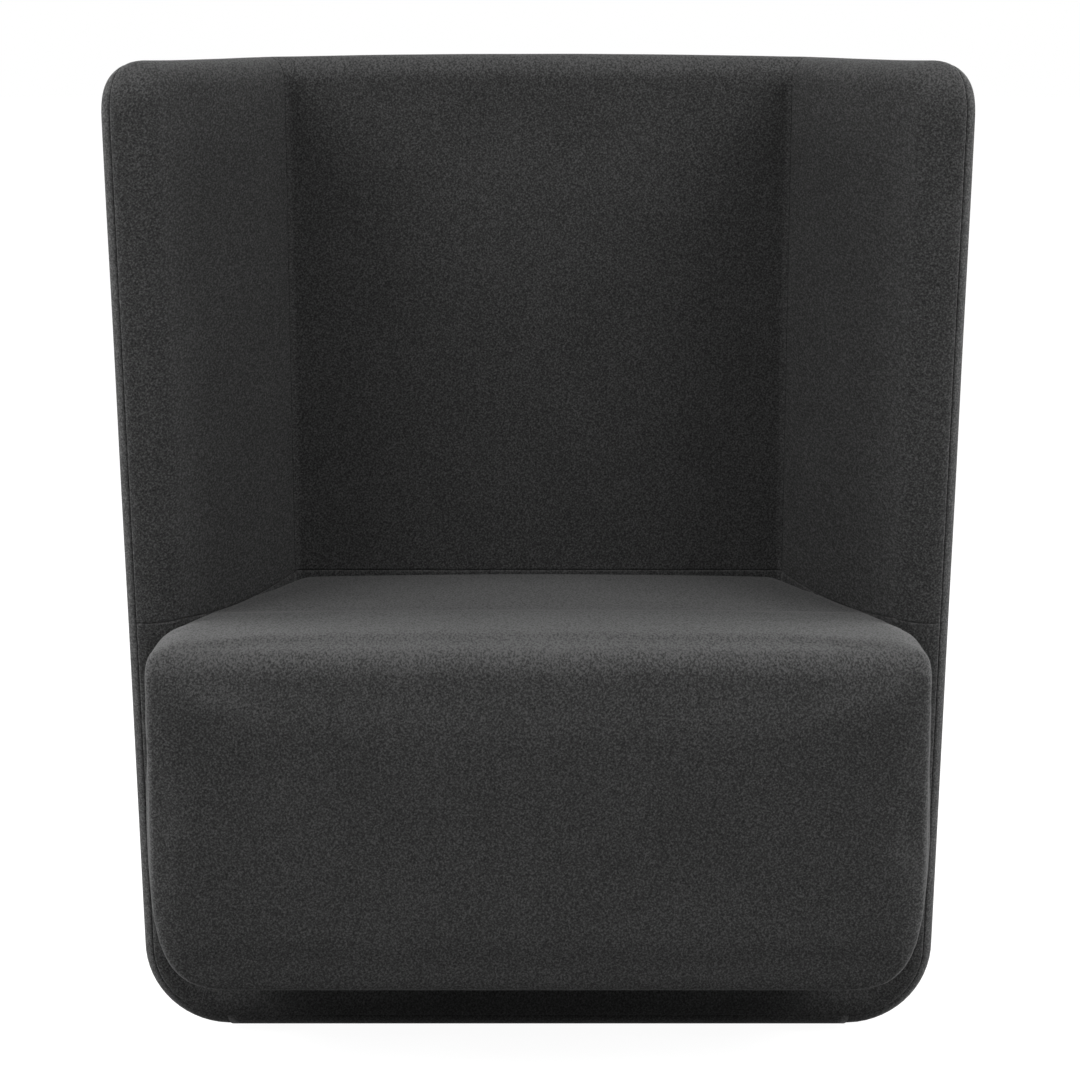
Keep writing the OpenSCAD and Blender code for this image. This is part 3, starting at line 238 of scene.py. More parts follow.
# A strap's width and thickness, half the height between the two layers, and the height of the waves
STRAP_W, STRAP_T, LAYER, STRAP_WAVE = 50.0, 1.2, 1.0, 0.5
STRAP_ROWS = 141
STRAP_SHARES = (-1, -0.92, 0.92, 1)


def straps(name, node, count, crossings, along_y):
    """Straps in the node's box, each a sheet whose height is a wave over and under its crossings. Each
    is as long as the CAD strap at its place, because the seat box is narrower at the back."""
    low, high = (np.array(corner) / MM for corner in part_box(node))
    known = np.array([tuple(vertex.co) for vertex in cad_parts[node].data.vertices]) / MM
    run, side = (1, 0) if along_y else (0, 1)
    t = np.linspace(0, 1, STRAP_ROWS)[:, None]
    over = 1 if along_y else -1
    middle = (low + high) / 2
    points, faces = [], []
    for i in range(count):
        centre = middle[side] + (i - (count - 1) / 2) * ((high - low)[side] - STRAP_W) / (count - 1)
        ends = known[np.abs(known[:, side] - centre) < STRAP_W / 2 + LAYER, run]
        grid = np.zeros((STRAP_ROWS, len(STRAP_SHARES), 3))
        grid[..., run] = ends.min() + t * np.ptp(ends)
        grid[..., side] = centre + STRAP_W / 2 * np.array(STRAP_SHARES)
        wave = np.cos(np.pi * (t * crossings - 0.5)) * (1 if (i % 2) == along_y else -1)
        grid[..., 2] = middle[2] + LAYER * over + STRAP_WAVE * wave
        faces.append(closed_faces(*grid.shape[:2]) + len(points) * grid[..., 0].size)
        points += [grid + [0, 0, STRAP_T / 2], grid - [0, 0, STRAP_T / 2]]
    piece = skin_mesh(name, np.concatenate(points).reshape(-1, 3), np.concatenate(faces), WEBBING)
    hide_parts(node)


WEBBING = webbing()
straps("webbing_straps_long", "webbing_long", 7, 5, True)
straps("webbing_straps_cross", "webbing_cross", 5, 7, False)

# Outer panels of the wings
# One panel of foam-backed wool felt on the outside of each wing. It wraps from the edge seam round
# the rolled lower corner, where it is stapled under the base.

# The shell's height, its widths at the foot and the top, and the radii of its lower corners, its top
# corners and its edge. Heights count from the shell's foot, which stands GAP above the floor.
SHELL_H, FOOT_W, TOP_W, LOWER_R, TOP_R, EDGE_R = 1048.0, 878.0, 920.0, 95.0, 59.0, 28.0
# The gap under the shell, the back's thickness, the radii of its rear edge and of the inner crease, and
# how far the edge seam lies in from the outer face
GAP, BACK_T, BACK_EDGE_R, CREASE_R, SEAM_INSET = 8.0, 63.0, 22.0, 6.0, 16.5
# How far the seat block stands out in front, its depth, and the heights of its top and its underside
SEAT_REACH, SEAT_DEPTH, SEAT_Z, UNDER_Z = 180.0, 503.0, 471.0, 107.0
LINING_FOOT_Z = UNDER_Z + 3
# The wings' splay and wall, the back's lean and the seat's tilt
SPLAY_TURN, LEAN_TURN, TILT_TURN, WALL_T = np.radians(18), np.radians(2.6), np.radians(3), 53.0
SPLAY, LEAN_Y = np.tan(SPLAY_TURN), np.tan(LEAN_TURN)
LEAN_X = (TOP_W - FOOT_W) / 2 / (SHELL_H - LOWER_R)
WALL = WALL_T / np.cos(SPLAY_TURN)
SEAT_REAR_Z = SEAT_Z - SEAT_DEPTH * np.tan(TILT_TURN)
BACK_S = SEAT_DEPTH - SEAT_REACH - LEAN_Y * SEAT_REAR_Z
FRONT_Y = SEAT_REACH - (SEAT_REACH + BACK_S + LEAN_Y * (SHELL_H - EDGE_R) + BACK_T) / 2
ROLL_X = FOOT_W / 2 - LOWER_R
OUTER_REACH = BACK_T - BACK_EDGE_R
# Where the edge seam lies on the rounded edge, as a turn, and the small turn between its two panels
SEAM_TURN, SEAM_SLIT = np.arcsin(2 * SEAM_INSET / WALL - 1), 0.02
# The cross seam's heights in front and behind, and how far it sags between them
SEAM_FRONT_Z, SEAM_REAR_Z, SEAM_SAG = SEAT_Z - 11.5, SEAT_REAR_Z + 5, 10.0
# Where the flat of the foot starts, by arc length below the straight wall
FOOT_W0 = -LOWER_R * np.pi / 2
# The power of the top corner's superellipse, how much higher it is than the top edge, and how fast
# that dies out along the edge
CORNER_FULL, CORNER_LIFT, LIFT_DECAY = 2 / 2.4, 2.0, 4
# How far up the top corner's far points are at its end, and how much further along the top edge
FAR_UP_SHARE, FAR_ON_SHARE = 0.68, 0.30
# The width of a drawn speck of wool, and the pattern's scale along the nap, where it is drawn out
SPECK, NAP = 2.0, 0.4


def felt():
    """Milled wool felt in a charcoal melange. Its nap gives it a matt face with a weak sheen, and light
    and dark wool mixed before spinning gives it fine specks, with no weave. The wool is 0.02 mm thick,
    which is too fine to show, so its specks are drawn 1 to 2 mm wide. The nap lies along the chair's
    depth, so the specks are longer that way. What faces upwards is painted a little lighter: a painted
    top light, for the light that falls from above. The specks' lattice is turned, because a plane along it
    would cut them all alike."""
    made, tree = material("wool_felt", Roughness=0.95, Specular_IOR_Level=0.15, Sheen_Weight=0.27,
                          Sheen_Roughness=0.35, Sheen_Tint=linear("#bcbcbc"))
    place = add(tree, "Mapping", Vector=add(tree, "TexCoord").outputs["Object"], Scale=(1, NAP, 1),
                Rotation=np.radians((31, 24, 38)))
    specks = add(tree, "TexNoise", Vector=place, Scale=METRE / SPECK, Detail=2.0)
    fibres = add(tree, "TexNoise", Vector=place, Scale=METRE / 1.3, Roughness=0.6, Distortion=0.8)
    cloud = add(tree, "TexNoise", Vector=place, Scale=METRE / 90)
    pilling = add(tree, "TexNoise", Vector=place, Scale=METRE / 6.7)
    # Painted top light: the felt's tone is raised by how much its surface faces upwards, standing in for the
    # light from above.
    normal = add(tree, "SeparateXYZ", Vector=add(tree, "NewGeometry").outputs["Normal"])
    painted_top_light = add(tree, "Math", {"operation": "MAXIMUM"}, i0=normal.outputs["Z"], i1=0.0)
    tone = add(tree, "Math", {"operation": "MULTIPLY_ADD"}, i0=fibres, i1=0.5, i2=specks)
    tone = add(tree, "Math", {"operation": "MULTIPLY_ADD"}, i0=cloud, i1=0.08, i2=tone)
    tone = add(tree, "Math", {"operation": "MULTIPLY_ADD"}, i0=painted_top_light, i1=0.13, i2=tone)
    rough = add(tree, "Bump", Height=pilling, Strength=0.12, Distance=0.6 * MM)
    rough = add(tree, "Bump", Height=specks, Strength=0.15, Distance=0.5 * MM, Normal=rough)
    rough = add(tree, "Bump", Height=fibres, Strength=0.2, Distance=0.3 * MM, Normal=rough)
    surface(tree, add(tree, "ValToRGB", stops=((0.53, "#272727"), (0.72, "#3a3a3a"), (0.85, "#4b4b4b"),
                                               (1.0, "#606060")), Fac=tone), rough)
    return made


FELT = felt()


def back_at(z):
    """Depth of the back's inner face at a height: it leans back evenly."""
    return BACK_S + LEAN_Y * z


def shell_point(s, w, b):
    """A point of the shell, s back from its front plane and b in from its outer face. w runs up the
    wall from the rolled corner; below zero it runs round the corner by arc length, then inwards
    along the foot. Every point is shifted in by the wings' splay times s."""
    turn = np.clip(-w / LOWER_R, 0, np.pi / 2)
    rise = np.maximum(w, 0)
    x = ROLL_X + (LOWER_R - b) * np.cos(turn) + LEAN_X * rise - np.maximum(FOOT_W0 - w, 0)
    z = LOWER_R - (LOWER_R - b) * np.sin(turn) + rise
    return np.stack([x - SPLAY * s * np.minimum(x / ROLL_X, 1), FRONT_Y + s + 0 * x, GAP + z], -1)


def edge_path(*stretches):
    """Stations along the rounded edge, as columns: where each starts (s, w), its way in (ns, nw), the
    height w of the face's far point, and 1 on the top edge, whose s is a share of its length. The
    corner is a superellipse, and is CORNER_LIFT higher where it meets the top edge."""
    rows = []
    far_foot, far_rise = SHELL_H - LOWER_R - TOP_R, TOP_R - EDGE_R
    for kind, values in stretches:
        v = np.asarray(values, float)
        one, nil = np.ones_like(v), np.zeros_like(v)
        if kind == "wall":
            rows.append(np.stack([nil, v, one, nil, v, nil], -1))
        elif kind == "corner":
            away, rise = np.cos(v) ** CORNER_FULL, np.sin(v) ** CORNER_FULL
            height = SHELL_H - LOWER_R - TOP_R * (1 - rise) + CORNER_LIFT * rise
            rows.append(np.stack([TOP_R * (1 - away), height,
                                  np.cos(v), -np.sin(v),
                                  far_foot + far_rise * FAR_UP_SHARE * v / (np.pi / 2), nil], -1))
        else:
            rows.append(np.stack([v, SHELL_H - LOWER_R + CORNER_LIFT * np.exp(-LIFT_DECAY * v), nil, -one,
                                  far_foot + far_rise * (FAR_UP_SHARE + FAR_ON_SHARE * v), one], -1))
    return np.concatenate(rows)


# A seam's dip: how far from it and how deep the felt turns in, and how much deeper its edge is tucked
SEAM_RUN, SEAM_DEPTH, TUCK = 3.0, 0.9, 1.5


def dip(c, depth=SEAM_DEPTH, run=SEAM_RUN):
    """How far a panel's surface turns in at a distance c from its seam: a quarter round."""
    near = np.clip(1 - c / run, 0, 1)
    return depth * (1 - np.sqrt(1 - near ** 2))


def seam_cut(lengths, first=True, last=True, depth=SEAM_DEPTH):
    """The cut along a line of points at the given distances: it dips at a seam at either end, and the
    last point is tucked in below the dip."""
    cut = np.zeros_like(lengths)
    if first:
        cut = np.maximum(cut, dip(lengths - lengths[0], depth))
        cut[0] = depth + TUCK
    if last:
        cut = np.maximum(cut, dip(lengths[-1] - lengths, depth))
        cut[-1] = depth + TUCK
    return cut


def fine_ends(length, count, first=True, last=True):
    """Distances along a line with close points at a seam, so that its dip is round."""
    near = np.array([0, 0.001, 0.25, 0.7, 1.4, 2.2, 3.1, 4.6])
    start = near if first else np.array([0.0])
    end = length - near[::-1] if last else np.array([length])
    return np.concatenate([start, np.linspace(start[-1], end[0], count + 2)[1:-1], end])


# Stations round the top corner, and along the top edge of the wings
TOP_RUN = 330.0
TOP_TURNS = steps((0.09, np.pi / 2, 18))
TOP_PLACES = fine_ends(TOP_RUN, 46, first=False)[1:]
# The distance in which a panel's crown dies out at its seams, and one that counts as far from any
CROWN_RUN, FAR_OFF = 30.0, 1000.0


def swell(points_s, points_w, a, b, height):
    """A crown that dies out with the distances a and b from the seams, and the slight unevenness of
    hand-laid foam: sines whose lengths, in millimetres, have no common measure."""
    rise = (1 - np.exp(-a / CROWN_RUN)) * (1 - np.exp(-b / CROWN_RUN))
    wave = (np.sin(points_s / 37 + 1.3) * np.sin(points_w / 61 + 0.4)
            + 0.6 * np.sin(points_s / 19 - points_w / 45) + 0.5 * np.sin(points_w / 83 + points_s / 70))
    return rise * (height + 0.22 * wave)


def seam_sag(shares, distance):
    """How far the cross seam hangs below a straight line: a parabola along the wing, which dies out
    with the distance above or below the seam."""
    return SEAM_SAG * 4 * shares * (1 - shares) * np.exp(-distance / 60)


def nose_and_face(path, turns, face_shares, inner, cut_rows, cut_columns, crown, thick):
    """A panel from the edge seam over the rounded edge and on to the far side of a face. The edge is
    an ellipse across the wall's thickness, and the face is the straight run to the far points. crown
    is its height and whether it dies out at the last row."""
    s0, w0, ns, nw, far_w = (path[:, i:i + 1] for i in range(5))
    far_z = far_w + LOWER_R
    far_s = back_at(far_z) - CREASE_R if inner else back_at(far_z) + OUTER_REACH
    top = path[:, 5:] == 1

    def grid(cut_at):
        cut = cut_at[:, :len(turns)]
        d = EDGE_R - (EDGE_R - cut) * np.cos(turns)
        b = WALL / 2 + (WALL / 2 - cut) * np.sin(turns)
        z = SHELL_H - d
        end = back_at(z) - CREASE_R + (OUTER_REACH + CREASE_R) * (1 - b / WALL)
        start = np.where(top, TOP_R + s0 * (end - TOP_R), s0)
        nose_s, nose_w = start + d * ns, w0 + d * nw
        last_s, last_w = nose_s[:, -1:], nose_w[:, -1:]
        face_cut = cut_at[:, len(turns):]
        face_s = last_s + (far_s - last_s) * face_shares
        face_w = last_w + (far_w - last_w) * face_shares
        if inner:
            face_w = face_w - seam_sag(face_shares, np.where(top, FAR_OFF, w0 - w0[0]))
        face_b = (WALL - face_cut) if inner else face_cut
        return np.concatenate([nose_s, face_s], 1), np.concatenate([nose_w, face_w], 1), \
            np.concatenate([b, face_b], 1)

    cut = np.maximum(cut_rows[:, None], cut_columns[None, :])
    s, w, b = grid(cut)
    across = np.minimum(np.abs(s - far_s), FAR_OFF)
    edge = np.concatenate([np.abs(turns - turns[0]) * EDGE_R, 60 + face_shares * 250])[None, :]
    rows = np.cumsum(np.concatenate([[0], np.hypot(*np.diff(
        np.stack([s[:, len(turns)], w[:, len(turns)]]), axis=1))]))[:, None]
    ends = np.minimum(rows, rows[-1] - rows + (0 if crown[1] else FAR_OFF))
    s, w, b = grid(cut - swell(s, w, np.minimum(across, edge), ends, crown[0]))
    outside = shell_point(s, w, b)
    s, w, b = grid(np.full_like(cut, thick))
    return outside, shell_point(s, w, b)


def mirrored(grid):
    """The same grid of points on the other side of the chair."""
    return grid * [-1, 1, 1]


# The outer panel's run from front to back, its crown, and its thickness with its foam
OUTER_RUN, OUTER_CROWN, OUTER_T = 340.0, 1.8, 12


def outer_turns(count):
    """Turns round the rounded edge from just outside the edge seam to the outer face."""
    start = SEAM_TURN - SEAM_SLIT
    return start - fine_ends((start + np.pi / 2) * EDGE_R, count, last=False) / EDGE_R


def both_wings(name, outside, inside, *nodes):
    """A piece on the right wing and its mirror image on the left, each in place of its CAD nodes."""
    pieces = []
    for side, grids in (("right", (outside, inside)), ("left", (mirrored(outside), mirrored(inside)))):
        piece = closed_piece(f"{name}_{side}", *grids, FELT, "wool_felt")
        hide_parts(*(f"{node}_{side}" for node in nodes))
        pieces.append(piece)
    return pieces


def outer_panels():
    """Rows run from the foot up the wall, over the top corner and back along the top."""
    low = fine_ends(SHELL_H - LOWER_R - TOP_R - FOOT_W0, 105, last=False) + FOOT_W0
    path = edge_path(("wall", low), ("corner", TOP_TURNS), ("top", TOP_PLACES / TOP_RUN))
    turns = outer_turns(10)
    shares = fine_ends(OUTER_RUN, 44, first=False)[1:] / OUTER_RUN
    cut_columns = np.concatenate([seam_cut((turns[0] - turns) * EDGE_R, last=False),
                                  dip((1 - shares) * OUTER_RUN)])
    cut_columns[-1] = SEAM_DEPTH + TUCK
    rows = np.concatenate([low, low[-1] + TOP_R * TOP_TURNS, low[-1] + TOP_R * 2 + TOP_PLACES])
    cut_rows = seam_cut(rows)
    outside, inside = nose_and_face(path, turns, shares, False, cut_rows, cut_columns,
                                    (OUTER_CROWN, False), OUTER_T)
    for piece in both_wings("outer_panel", outside, inside, "outer_cover", "outer_pad", "sill_roll"):
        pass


outer_panels()

# Inner panels of the wings
# Each inner panel wraps over the wing's rounded front and top edges, from the edge seam to the
# crease at the back. A cross seam at the height of the seat ends it below.


# How deep the felt dips at the cross seam and at the crease, the inner panel's run from front to back,
# its crown, and its thickness with its foam
CROSS_SEAM, CREASE_DIP = 1.0, 1.0
INNER_RUN, INNER_CROWN, INNER_T = 330.0, 0.7, 14


def inner_turns():
    """Turns round the rounded edge from the edge seam to the inner face."""
    return SEAM_TURN + fine_ends((np.pi / 2 - SEAM_TURN) * EDGE_R, 18, last=False) / EDGE_R


def inner_panels():
    """Rows run up from the cross seam, over the top corner and back along the top."""
    start = SEAM_FRONT_Z - LOWER_R
    low = fine_ends(SHELL_H - LOWER_R - TOP_R - start, 62, last=False) + start
    path = edge_path(("wall", low), ("corner", TOP_TURNS), ("top", TOP_PLACES / TOP_RUN))
    climb = (low - start) / (low[-1] - start)
    path[:len(low), 4] = (SEAM_REAR_Z - LOWER_R) + climb * (low[-1] - SEAM_REAR_Z + LOWER_R)
    turns = inner_turns()
    shares = fine_ends(INNER_RUN, 44, first=False)[1:] / INNER_RUN
    cut_columns = np.concatenate([seam_cut((turns - turns[0]) * EDGE_R, last=False),
                                  dip((1 - shares) * INNER_RUN, CREASE_DIP)])
    cut_columns[-1] = CREASE_DIP + TUCK
    rows = np.concatenate([low, low[-1] + TOP_R * TOP_TURNS, low[-1] + TOP_R * 2 + TOP_PLACES])
    cut_rows = seam_cut(rows, depth=CROSS_SEAM)
    outside, inside = nose_and_face(path, turns, shares, True, cut_rows, cut_columns,
                                    (INNER_CROWN, True), INNER_T)
    for piece in both_wings("wing_panel", outside, inside, "wing_cover", "wing_pad", "edge_roll"):
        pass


inner_panels()

# Lower front of the shell
# Below the cross seam one strip of felt covers the wings' edges, and runs on without a seam round
# the rolled corners and over the edge of the base. Behind the seat it lines the wings.


# The slit at the cross seam, the height in which the lining's lower edge rises behind the seat, how
# far the lining runs past the crease, and the felt's thickness behind the seat and over the edge
SEAM_GAP, FOOT_RISE, PAST_CREASE, LINING_T, EDGE_T = 0.5, 30, 4, 3.0, 8.0
# Two long waves of hand-laid felt along the edge, and the highest that they stand
WAVE_H, WAVE_TOP = 0.25, 0.2


def lower_front():
    """Rows run down the right edge, along the foot, and up the left edge as the mirror image."""
    start = SEAM_FRONT_Z - SEAM_GAP - LOWER_R
    down = start - fine_ends(start - FOOT_W0 + ROLL_X, 130, last=False)
    turns = inner_turns()
    shares = np.concatenate([[0.004, 0.01], np.linspace(0.03, 1, 18)])
    foot_w = LINING_FOOT_Z - LOWER_R
    drop = np.clip((down - foot_w) / FOOT_RISE, 0, 1)[:, None]
    cut_columns = np.concatenate([seam_cut((turns - turns[0]) * EDGE_R, last=False), 0 * shares])
    w0 = down[:, None]
    climb = np.clip((w0 - foot_w) / (start - foot_w), 0, 1)
    far_w = np.where(drop > 0, foot_w + climb * (SEAM_REAR_Z - SEAM_GAP - LINING_FOOT_Z), w0)
    past_crease = back_at(far_w + LOWER_R) + PAST_CREASE
    far_s = np.where(drop > 0, EDGE_R + (past_crease - EDGE_R) * drop, EDGE_R + 0.2)

    def grid(cut):
        nose = cut[:, :len(turns)]
        d = EDGE_R - (EDGE_R - nose) * np.cos(turns)
        b = WALL / 2 + (WALL / 2 - nose) * np.sin(turns)
        face_s = EDGE_R + (far_s - EDGE_R) * shares
        face_w = w0 + (far_w - w0) * shares - seam_sag(shares, w0[0] - w0) * (drop == 1)
        return shell_point(np.concatenate([d, face_s], 1), np.concatenate([w0 + 0 * d, face_w], 1),
                           np.concatenate([b, WALL - cut[:, len(turns):]], 1))

    cut_rows = seam_cut(start - down, last=False, depth=CROSS_SEAM)
    cut = np.maximum(cut_rows[:, None], cut_columns[None, :])
    uneven = WAVE_H * np.sin(w0 / 31) * np.sin(np.arange(cut.shape[1]) / 9) * (cut == 0)
    outside, inside = grid(cut - np.maximum(uneven, -WAVE_TOP)), grid(np.maximum(cut, LINING_T))
    inside[:, :len(turns)] = grid(np.full_like(cut, EDGE_T))[:, :len(turns)]
    outside = np.concatenate([outside, mirrored(outside[-2::-1])])
    inside = np.concatenate([inside, mirrored(inside[-2::-1])])
    piece = closed_piece("lower_front_strip", outside, inside, FELT, "wool_felt")
    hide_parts("lower_cover_right", "lower_cover_left", "base_edge_roll")


# The felt's thickness at the lining's foot, the radius of its turn, and how far it lies behind the
# lining's face
FOOT_T, FOOT_R, FOOT_BEHIND = 1.0, 4.0, 1.2


def lining_feet():
    """The lining's foot on each wing comes down behind its face in a quarter round, and lies over the
    sill, where it is stapled under the seat."""
    turn = np.radians(np.linspace(0, 90, 6))
    inwards = np.concatenate([[0, 0], FOOT_R * (1 - np.cos(turn)), [31.2, 61.2, 89.2]]) - FOOT_BEHIND
    up = np.concatenate([[38, 20], FOOT_R * (1 - np.sin(turn)), [0, 0, 0]]) + UNDER_Z + FOOT_BEHIND
    s = steps((EDGE_R + 1.5, back_at(UNDER_Z) - 1, 40))[:, None]
    outside = shell_point(s, up - LOWER_R + 0 * s, WALL + inwards)
    inside = shell_point(s, up - FOOT_T - LOWER_R + 0 * s, WALL + inwards - FOOT_T)
    for piece in both_wings("lining_foot", outside, inside, "lower_cover"):
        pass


lower_front()
lining_feet()

# Under edge and riser of the base
# The outer felt runs on under the front of the base and is stapled to the base board. A flat felt
# strip covers the front rail between the base's edge and the seat block.


# The flap's width, its rise and the highest that it goes, and the felt's thickness and fullness
FLAP_W, FLAP_RISE, FLAP_TOP, UNDER_T, UNDER_FULL = 12.0, 10.0, 11.6, 1.4, 1.3


def base_under():
    """A strip along the foot: the under quarter of the edge, and a flap that rises to the board as half
    a cosine wave."""
    x = steps((ROLL_X - 0.5, -ROLL_X + 0.5, 60))[:, None]
    turns = outer_turns(8)
    flap = FLAP_W * np.linspace(0.25, 1, 4)[None, :]

    def grid(cut):
        d = EDGE_R - (EDGE_R - cut) * np.cos(turns)
        b = WALL / 2 + (WALL / 2 - cut) * np.sin(turns)
        s = np.concatenate([d + 0 * x, EDGE_R + flap + 0 * x], 1)
        rise = FLAP_RISE * (1 - np.cos(np.pi * flap / FLAP_W / 2)) + (cut if np.isscalar(cut) else 0)
        z = np.concatenate([b + 0 * x, np.minimum(rise, FLAP_TOP) + 0 * x], 1)
        return np.stack([x * (1 - SPLAY * s / ROLL_X), FRONT_Y + s, GAP + z], -1)

    cut = seam_cut((turns[0] - turns) * EDGE_R, last=False)[None, :]
    full = UNDER_FULL * np.sin(np.pi / 2 * np.clip((turns[0] - turns) / 1.2, 0, 1)) * (cut == 0)
    piece = closed_piece("base_under_edge", grid(cut - full), grid(UNDER_T), FELT, "wool_felt")
    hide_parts("base_cover")


def riser():
    """A flat strip with the slight waves of cloth stapled along both edges."""
    low, high = (np.array(corner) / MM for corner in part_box("riser_cover"))
    x = np.linspace(low[0], high[0], 120)[:, None]
    z = np.linspace(low[2], high[2], 16)[None, :]
    wave = 0.15 * np.sin(x / 23) * np.sin(np.pi * (z - low[2]) / (high[2] - low[2]))
    front = np.stack([x + 0 * z, low[1] + wave, z + 0 * x], -1)
    rear = np.stack([x + 0 * z, high[1] - 0.2 + 0 * wave, z + 0 * x], -1)
    piece = closed_piece("riser_strip", front, rear, FELT, "wool_felt")
    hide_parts("riser_cover")


base_under()
riser()

# Inner panel of the back
# The back's inner panel wraps over the top edge from the edge seam behind it. Its sides turn round
# a small radius into the creases of the wings, and it ends at the cross seam behind the seat.

BACK_SEAM = np.arcsin(2 * SEAM_INSET / BACK_T - 1)
# How much the top edge stands up in the middle, and the panel's crown and its thickness with its foam
TOP_CROWN, BACK_CROWN, BACK_PANEL_T = 3.0, 0.7, 14.0
# The dip at each side's crease, and the distance in which it turns in
SIDE_DIP, SIDE_RUN = 0.7, 2.5


def back_point(across, turn, z, u):
    """A point of the back. across runs from 1 at one side to -1 at the other, turn goes round the
    corner from the wing to the back, and u from the outer face (0) to the inner face (1). The upper
    half is crowned by a parabola, up to its top edge."""
    half = FOOT_W / 2 + LEAN_X * (z - LOWER_R)
    depth = back_at(z)
    outer = (half - BACK_EDGE_R * (1 - np.cos(turn)), depth + BACK_T - BACK_EDGE_R * (1 - np.sin(turn)))
    inner = (half - WALL - CREASE_R * (1 - np.cos(turn)), depth - CREASE_R * (1 - np.sin(turn)))
    x = np.abs(across) * (outer[0] + (inner[0] - outer[0]) * u)
    s = outer[1] + (inner[1] - outer[1]) * u
    x = x - SPLAY * s * np.minimum(x / (half - WALL - CREASE_R), 1)
    crown = TOP_CROWN * (1 - across ** 2) * np.clip(2 * z / SHELL_H - 1, 0, 1) ** 2
    return np.stack([np.sign(across) * x, FRONT_Y + s, GAP + z + crown + 0 * x], -1)


def back_thickness(turn):
    """Distance from the outer to the inner face along a section."""
    return np.hypot(WALL - BACK_EDGE_R * (1 - np.cos(turn)) + CREASE_R * (1 - np.cos(turn)),
                    BACK_T - BACK_EDGE_R * (1 - np.sin(turn)) + CREASE_R * (1 - np.sin(turn)))


def back_panel():
    """Columns run from one crease to the other, and rows from the seam over the top and down."""
    fan = steps((0, np.pi / 2, 14))
    middle = steps((1, -1, 90))[1:-1]
    across = np.concatenate([0 * fan + 1, middle, 0 * fan - 1])[:, None]
    turn = np.concatenate([fan, 0 * middle + np.pi / 2, fan[::-1]])[:, None]
    nose = BACK_SEAM + fine_ends((np.pi / 2 - BACK_SEAM) * EDGE_R, 18, last=False) / EDGE_R
    drop = fine_ends(SHELL_H - EDGE_R - SEAM_REAR_Z, 66, first=False)[1:]
    cut_rows = np.concatenate([seam_cut((nose - nose[0]) * EDGE_R, last=False),
                               dip(drop[-1] - drop, CROSS_SEAM)])
    cut_rows[-1] = CROSS_SEAM + TUCK
    side = np.cumsum(np.concatenate([[0], np.hypot(np.diff(across[:, 0]) * 300, np.diff(turn[:, 0]) * 8)]))
    from_side = np.minimum(side, side[-1] - side)
    cut_columns = dip(from_side, SIDE_DIP, SIDE_RUN)
    cut_columns[[0, -1]] = SIDE_DIP + TUCK
    thickness = back_thickness(turn)

    def grid(cut):
        edge = cut[:, :len(nose)]
        z = SHELL_H - EDGE_R + (EDGE_R - edge) * np.cos(nose)
        u = 0.5 + (0.5 - edge / thickness) * np.sin(nose)
        top = back_point(across, turn, z, u)
        face = cut[:, len(nose):]
        return np.concatenate([top, back_point(across, turn, SHELL_H - EDGE_R - drop + 0 * face,
                                               1 - face / thickness)], 1)

    cut = np.maximum(cut_columns[:, None], cut_rows[None, :])
    down = np.concatenate([nose - nose[0], 2 + drop / EDGE_R]) * EDGE_R
    crown = swell(side[:, None] + 0 * cut, down[None, :] + 0 * cut, from_side[:, None],
                  np.minimum(down, down[-1] - down)[None, :], BACK_CROWN)
    piece = closed_piece("back_panel", grid(cut - crown), grid(np.full_like(cut, BACK_PANEL_T)), FELT,
                         "wool_felt")
    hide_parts("back_cover", "back_pad", "back_edge_roll")


BACK_LINING_T = 6


def back_lower_panel():
    """The plain panel behind the seat block, from the cross seam down to the base."""
    fan = steps((0, np.pi / 2, 8))
    middle = steps((1, -1, 40))[1:-1]
    across = np.concatenate([0 * fan + 1, middle, 0 * fan - 1])[:, None]
    turn = np.concatenate([fan, 0 * middle + np.pi / 2, fan[::-1]])[:, None]
    low, high = LINING_FOOT_Z - 2.5, SEAM_REAR_Z - SEAM_GAP
    fall = fine_ends(high - low, 24, last=False)[None, :]
    cut = seam_cut(fall[0], last=False, depth=CROSS_SEAM)[None, :] + 0 * across
    thickness = back_thickness(turn)
    outside = back_point(across, turn, high - fall + 0 * across, 1 - cut / thickness)
    inside = back_point(across, turn, high - fall + 0 * across, 1 - (0 * cut + BACK_LINING_T) / thickness)
    piece = closed_piece("back_lower_panel", outside, inside, FELT, "wool_felt")
    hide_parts("back_lower_cover")


back_panel()
back_lower_panel()

# Outer panel of the back
# A foam-backed panel over the whole rear face. Its edge is rounded over on to the wings' outer
# panels, with a seam all round that runs under the foot and over the top edge.


# How much lower the corner columns end, the panel's thickness with its foam, and its crown and waves
CORNER_FALL, REAR_T, REAR_CROWN, REAR_WAVE = 14, 12.0, 0.4, 0.3


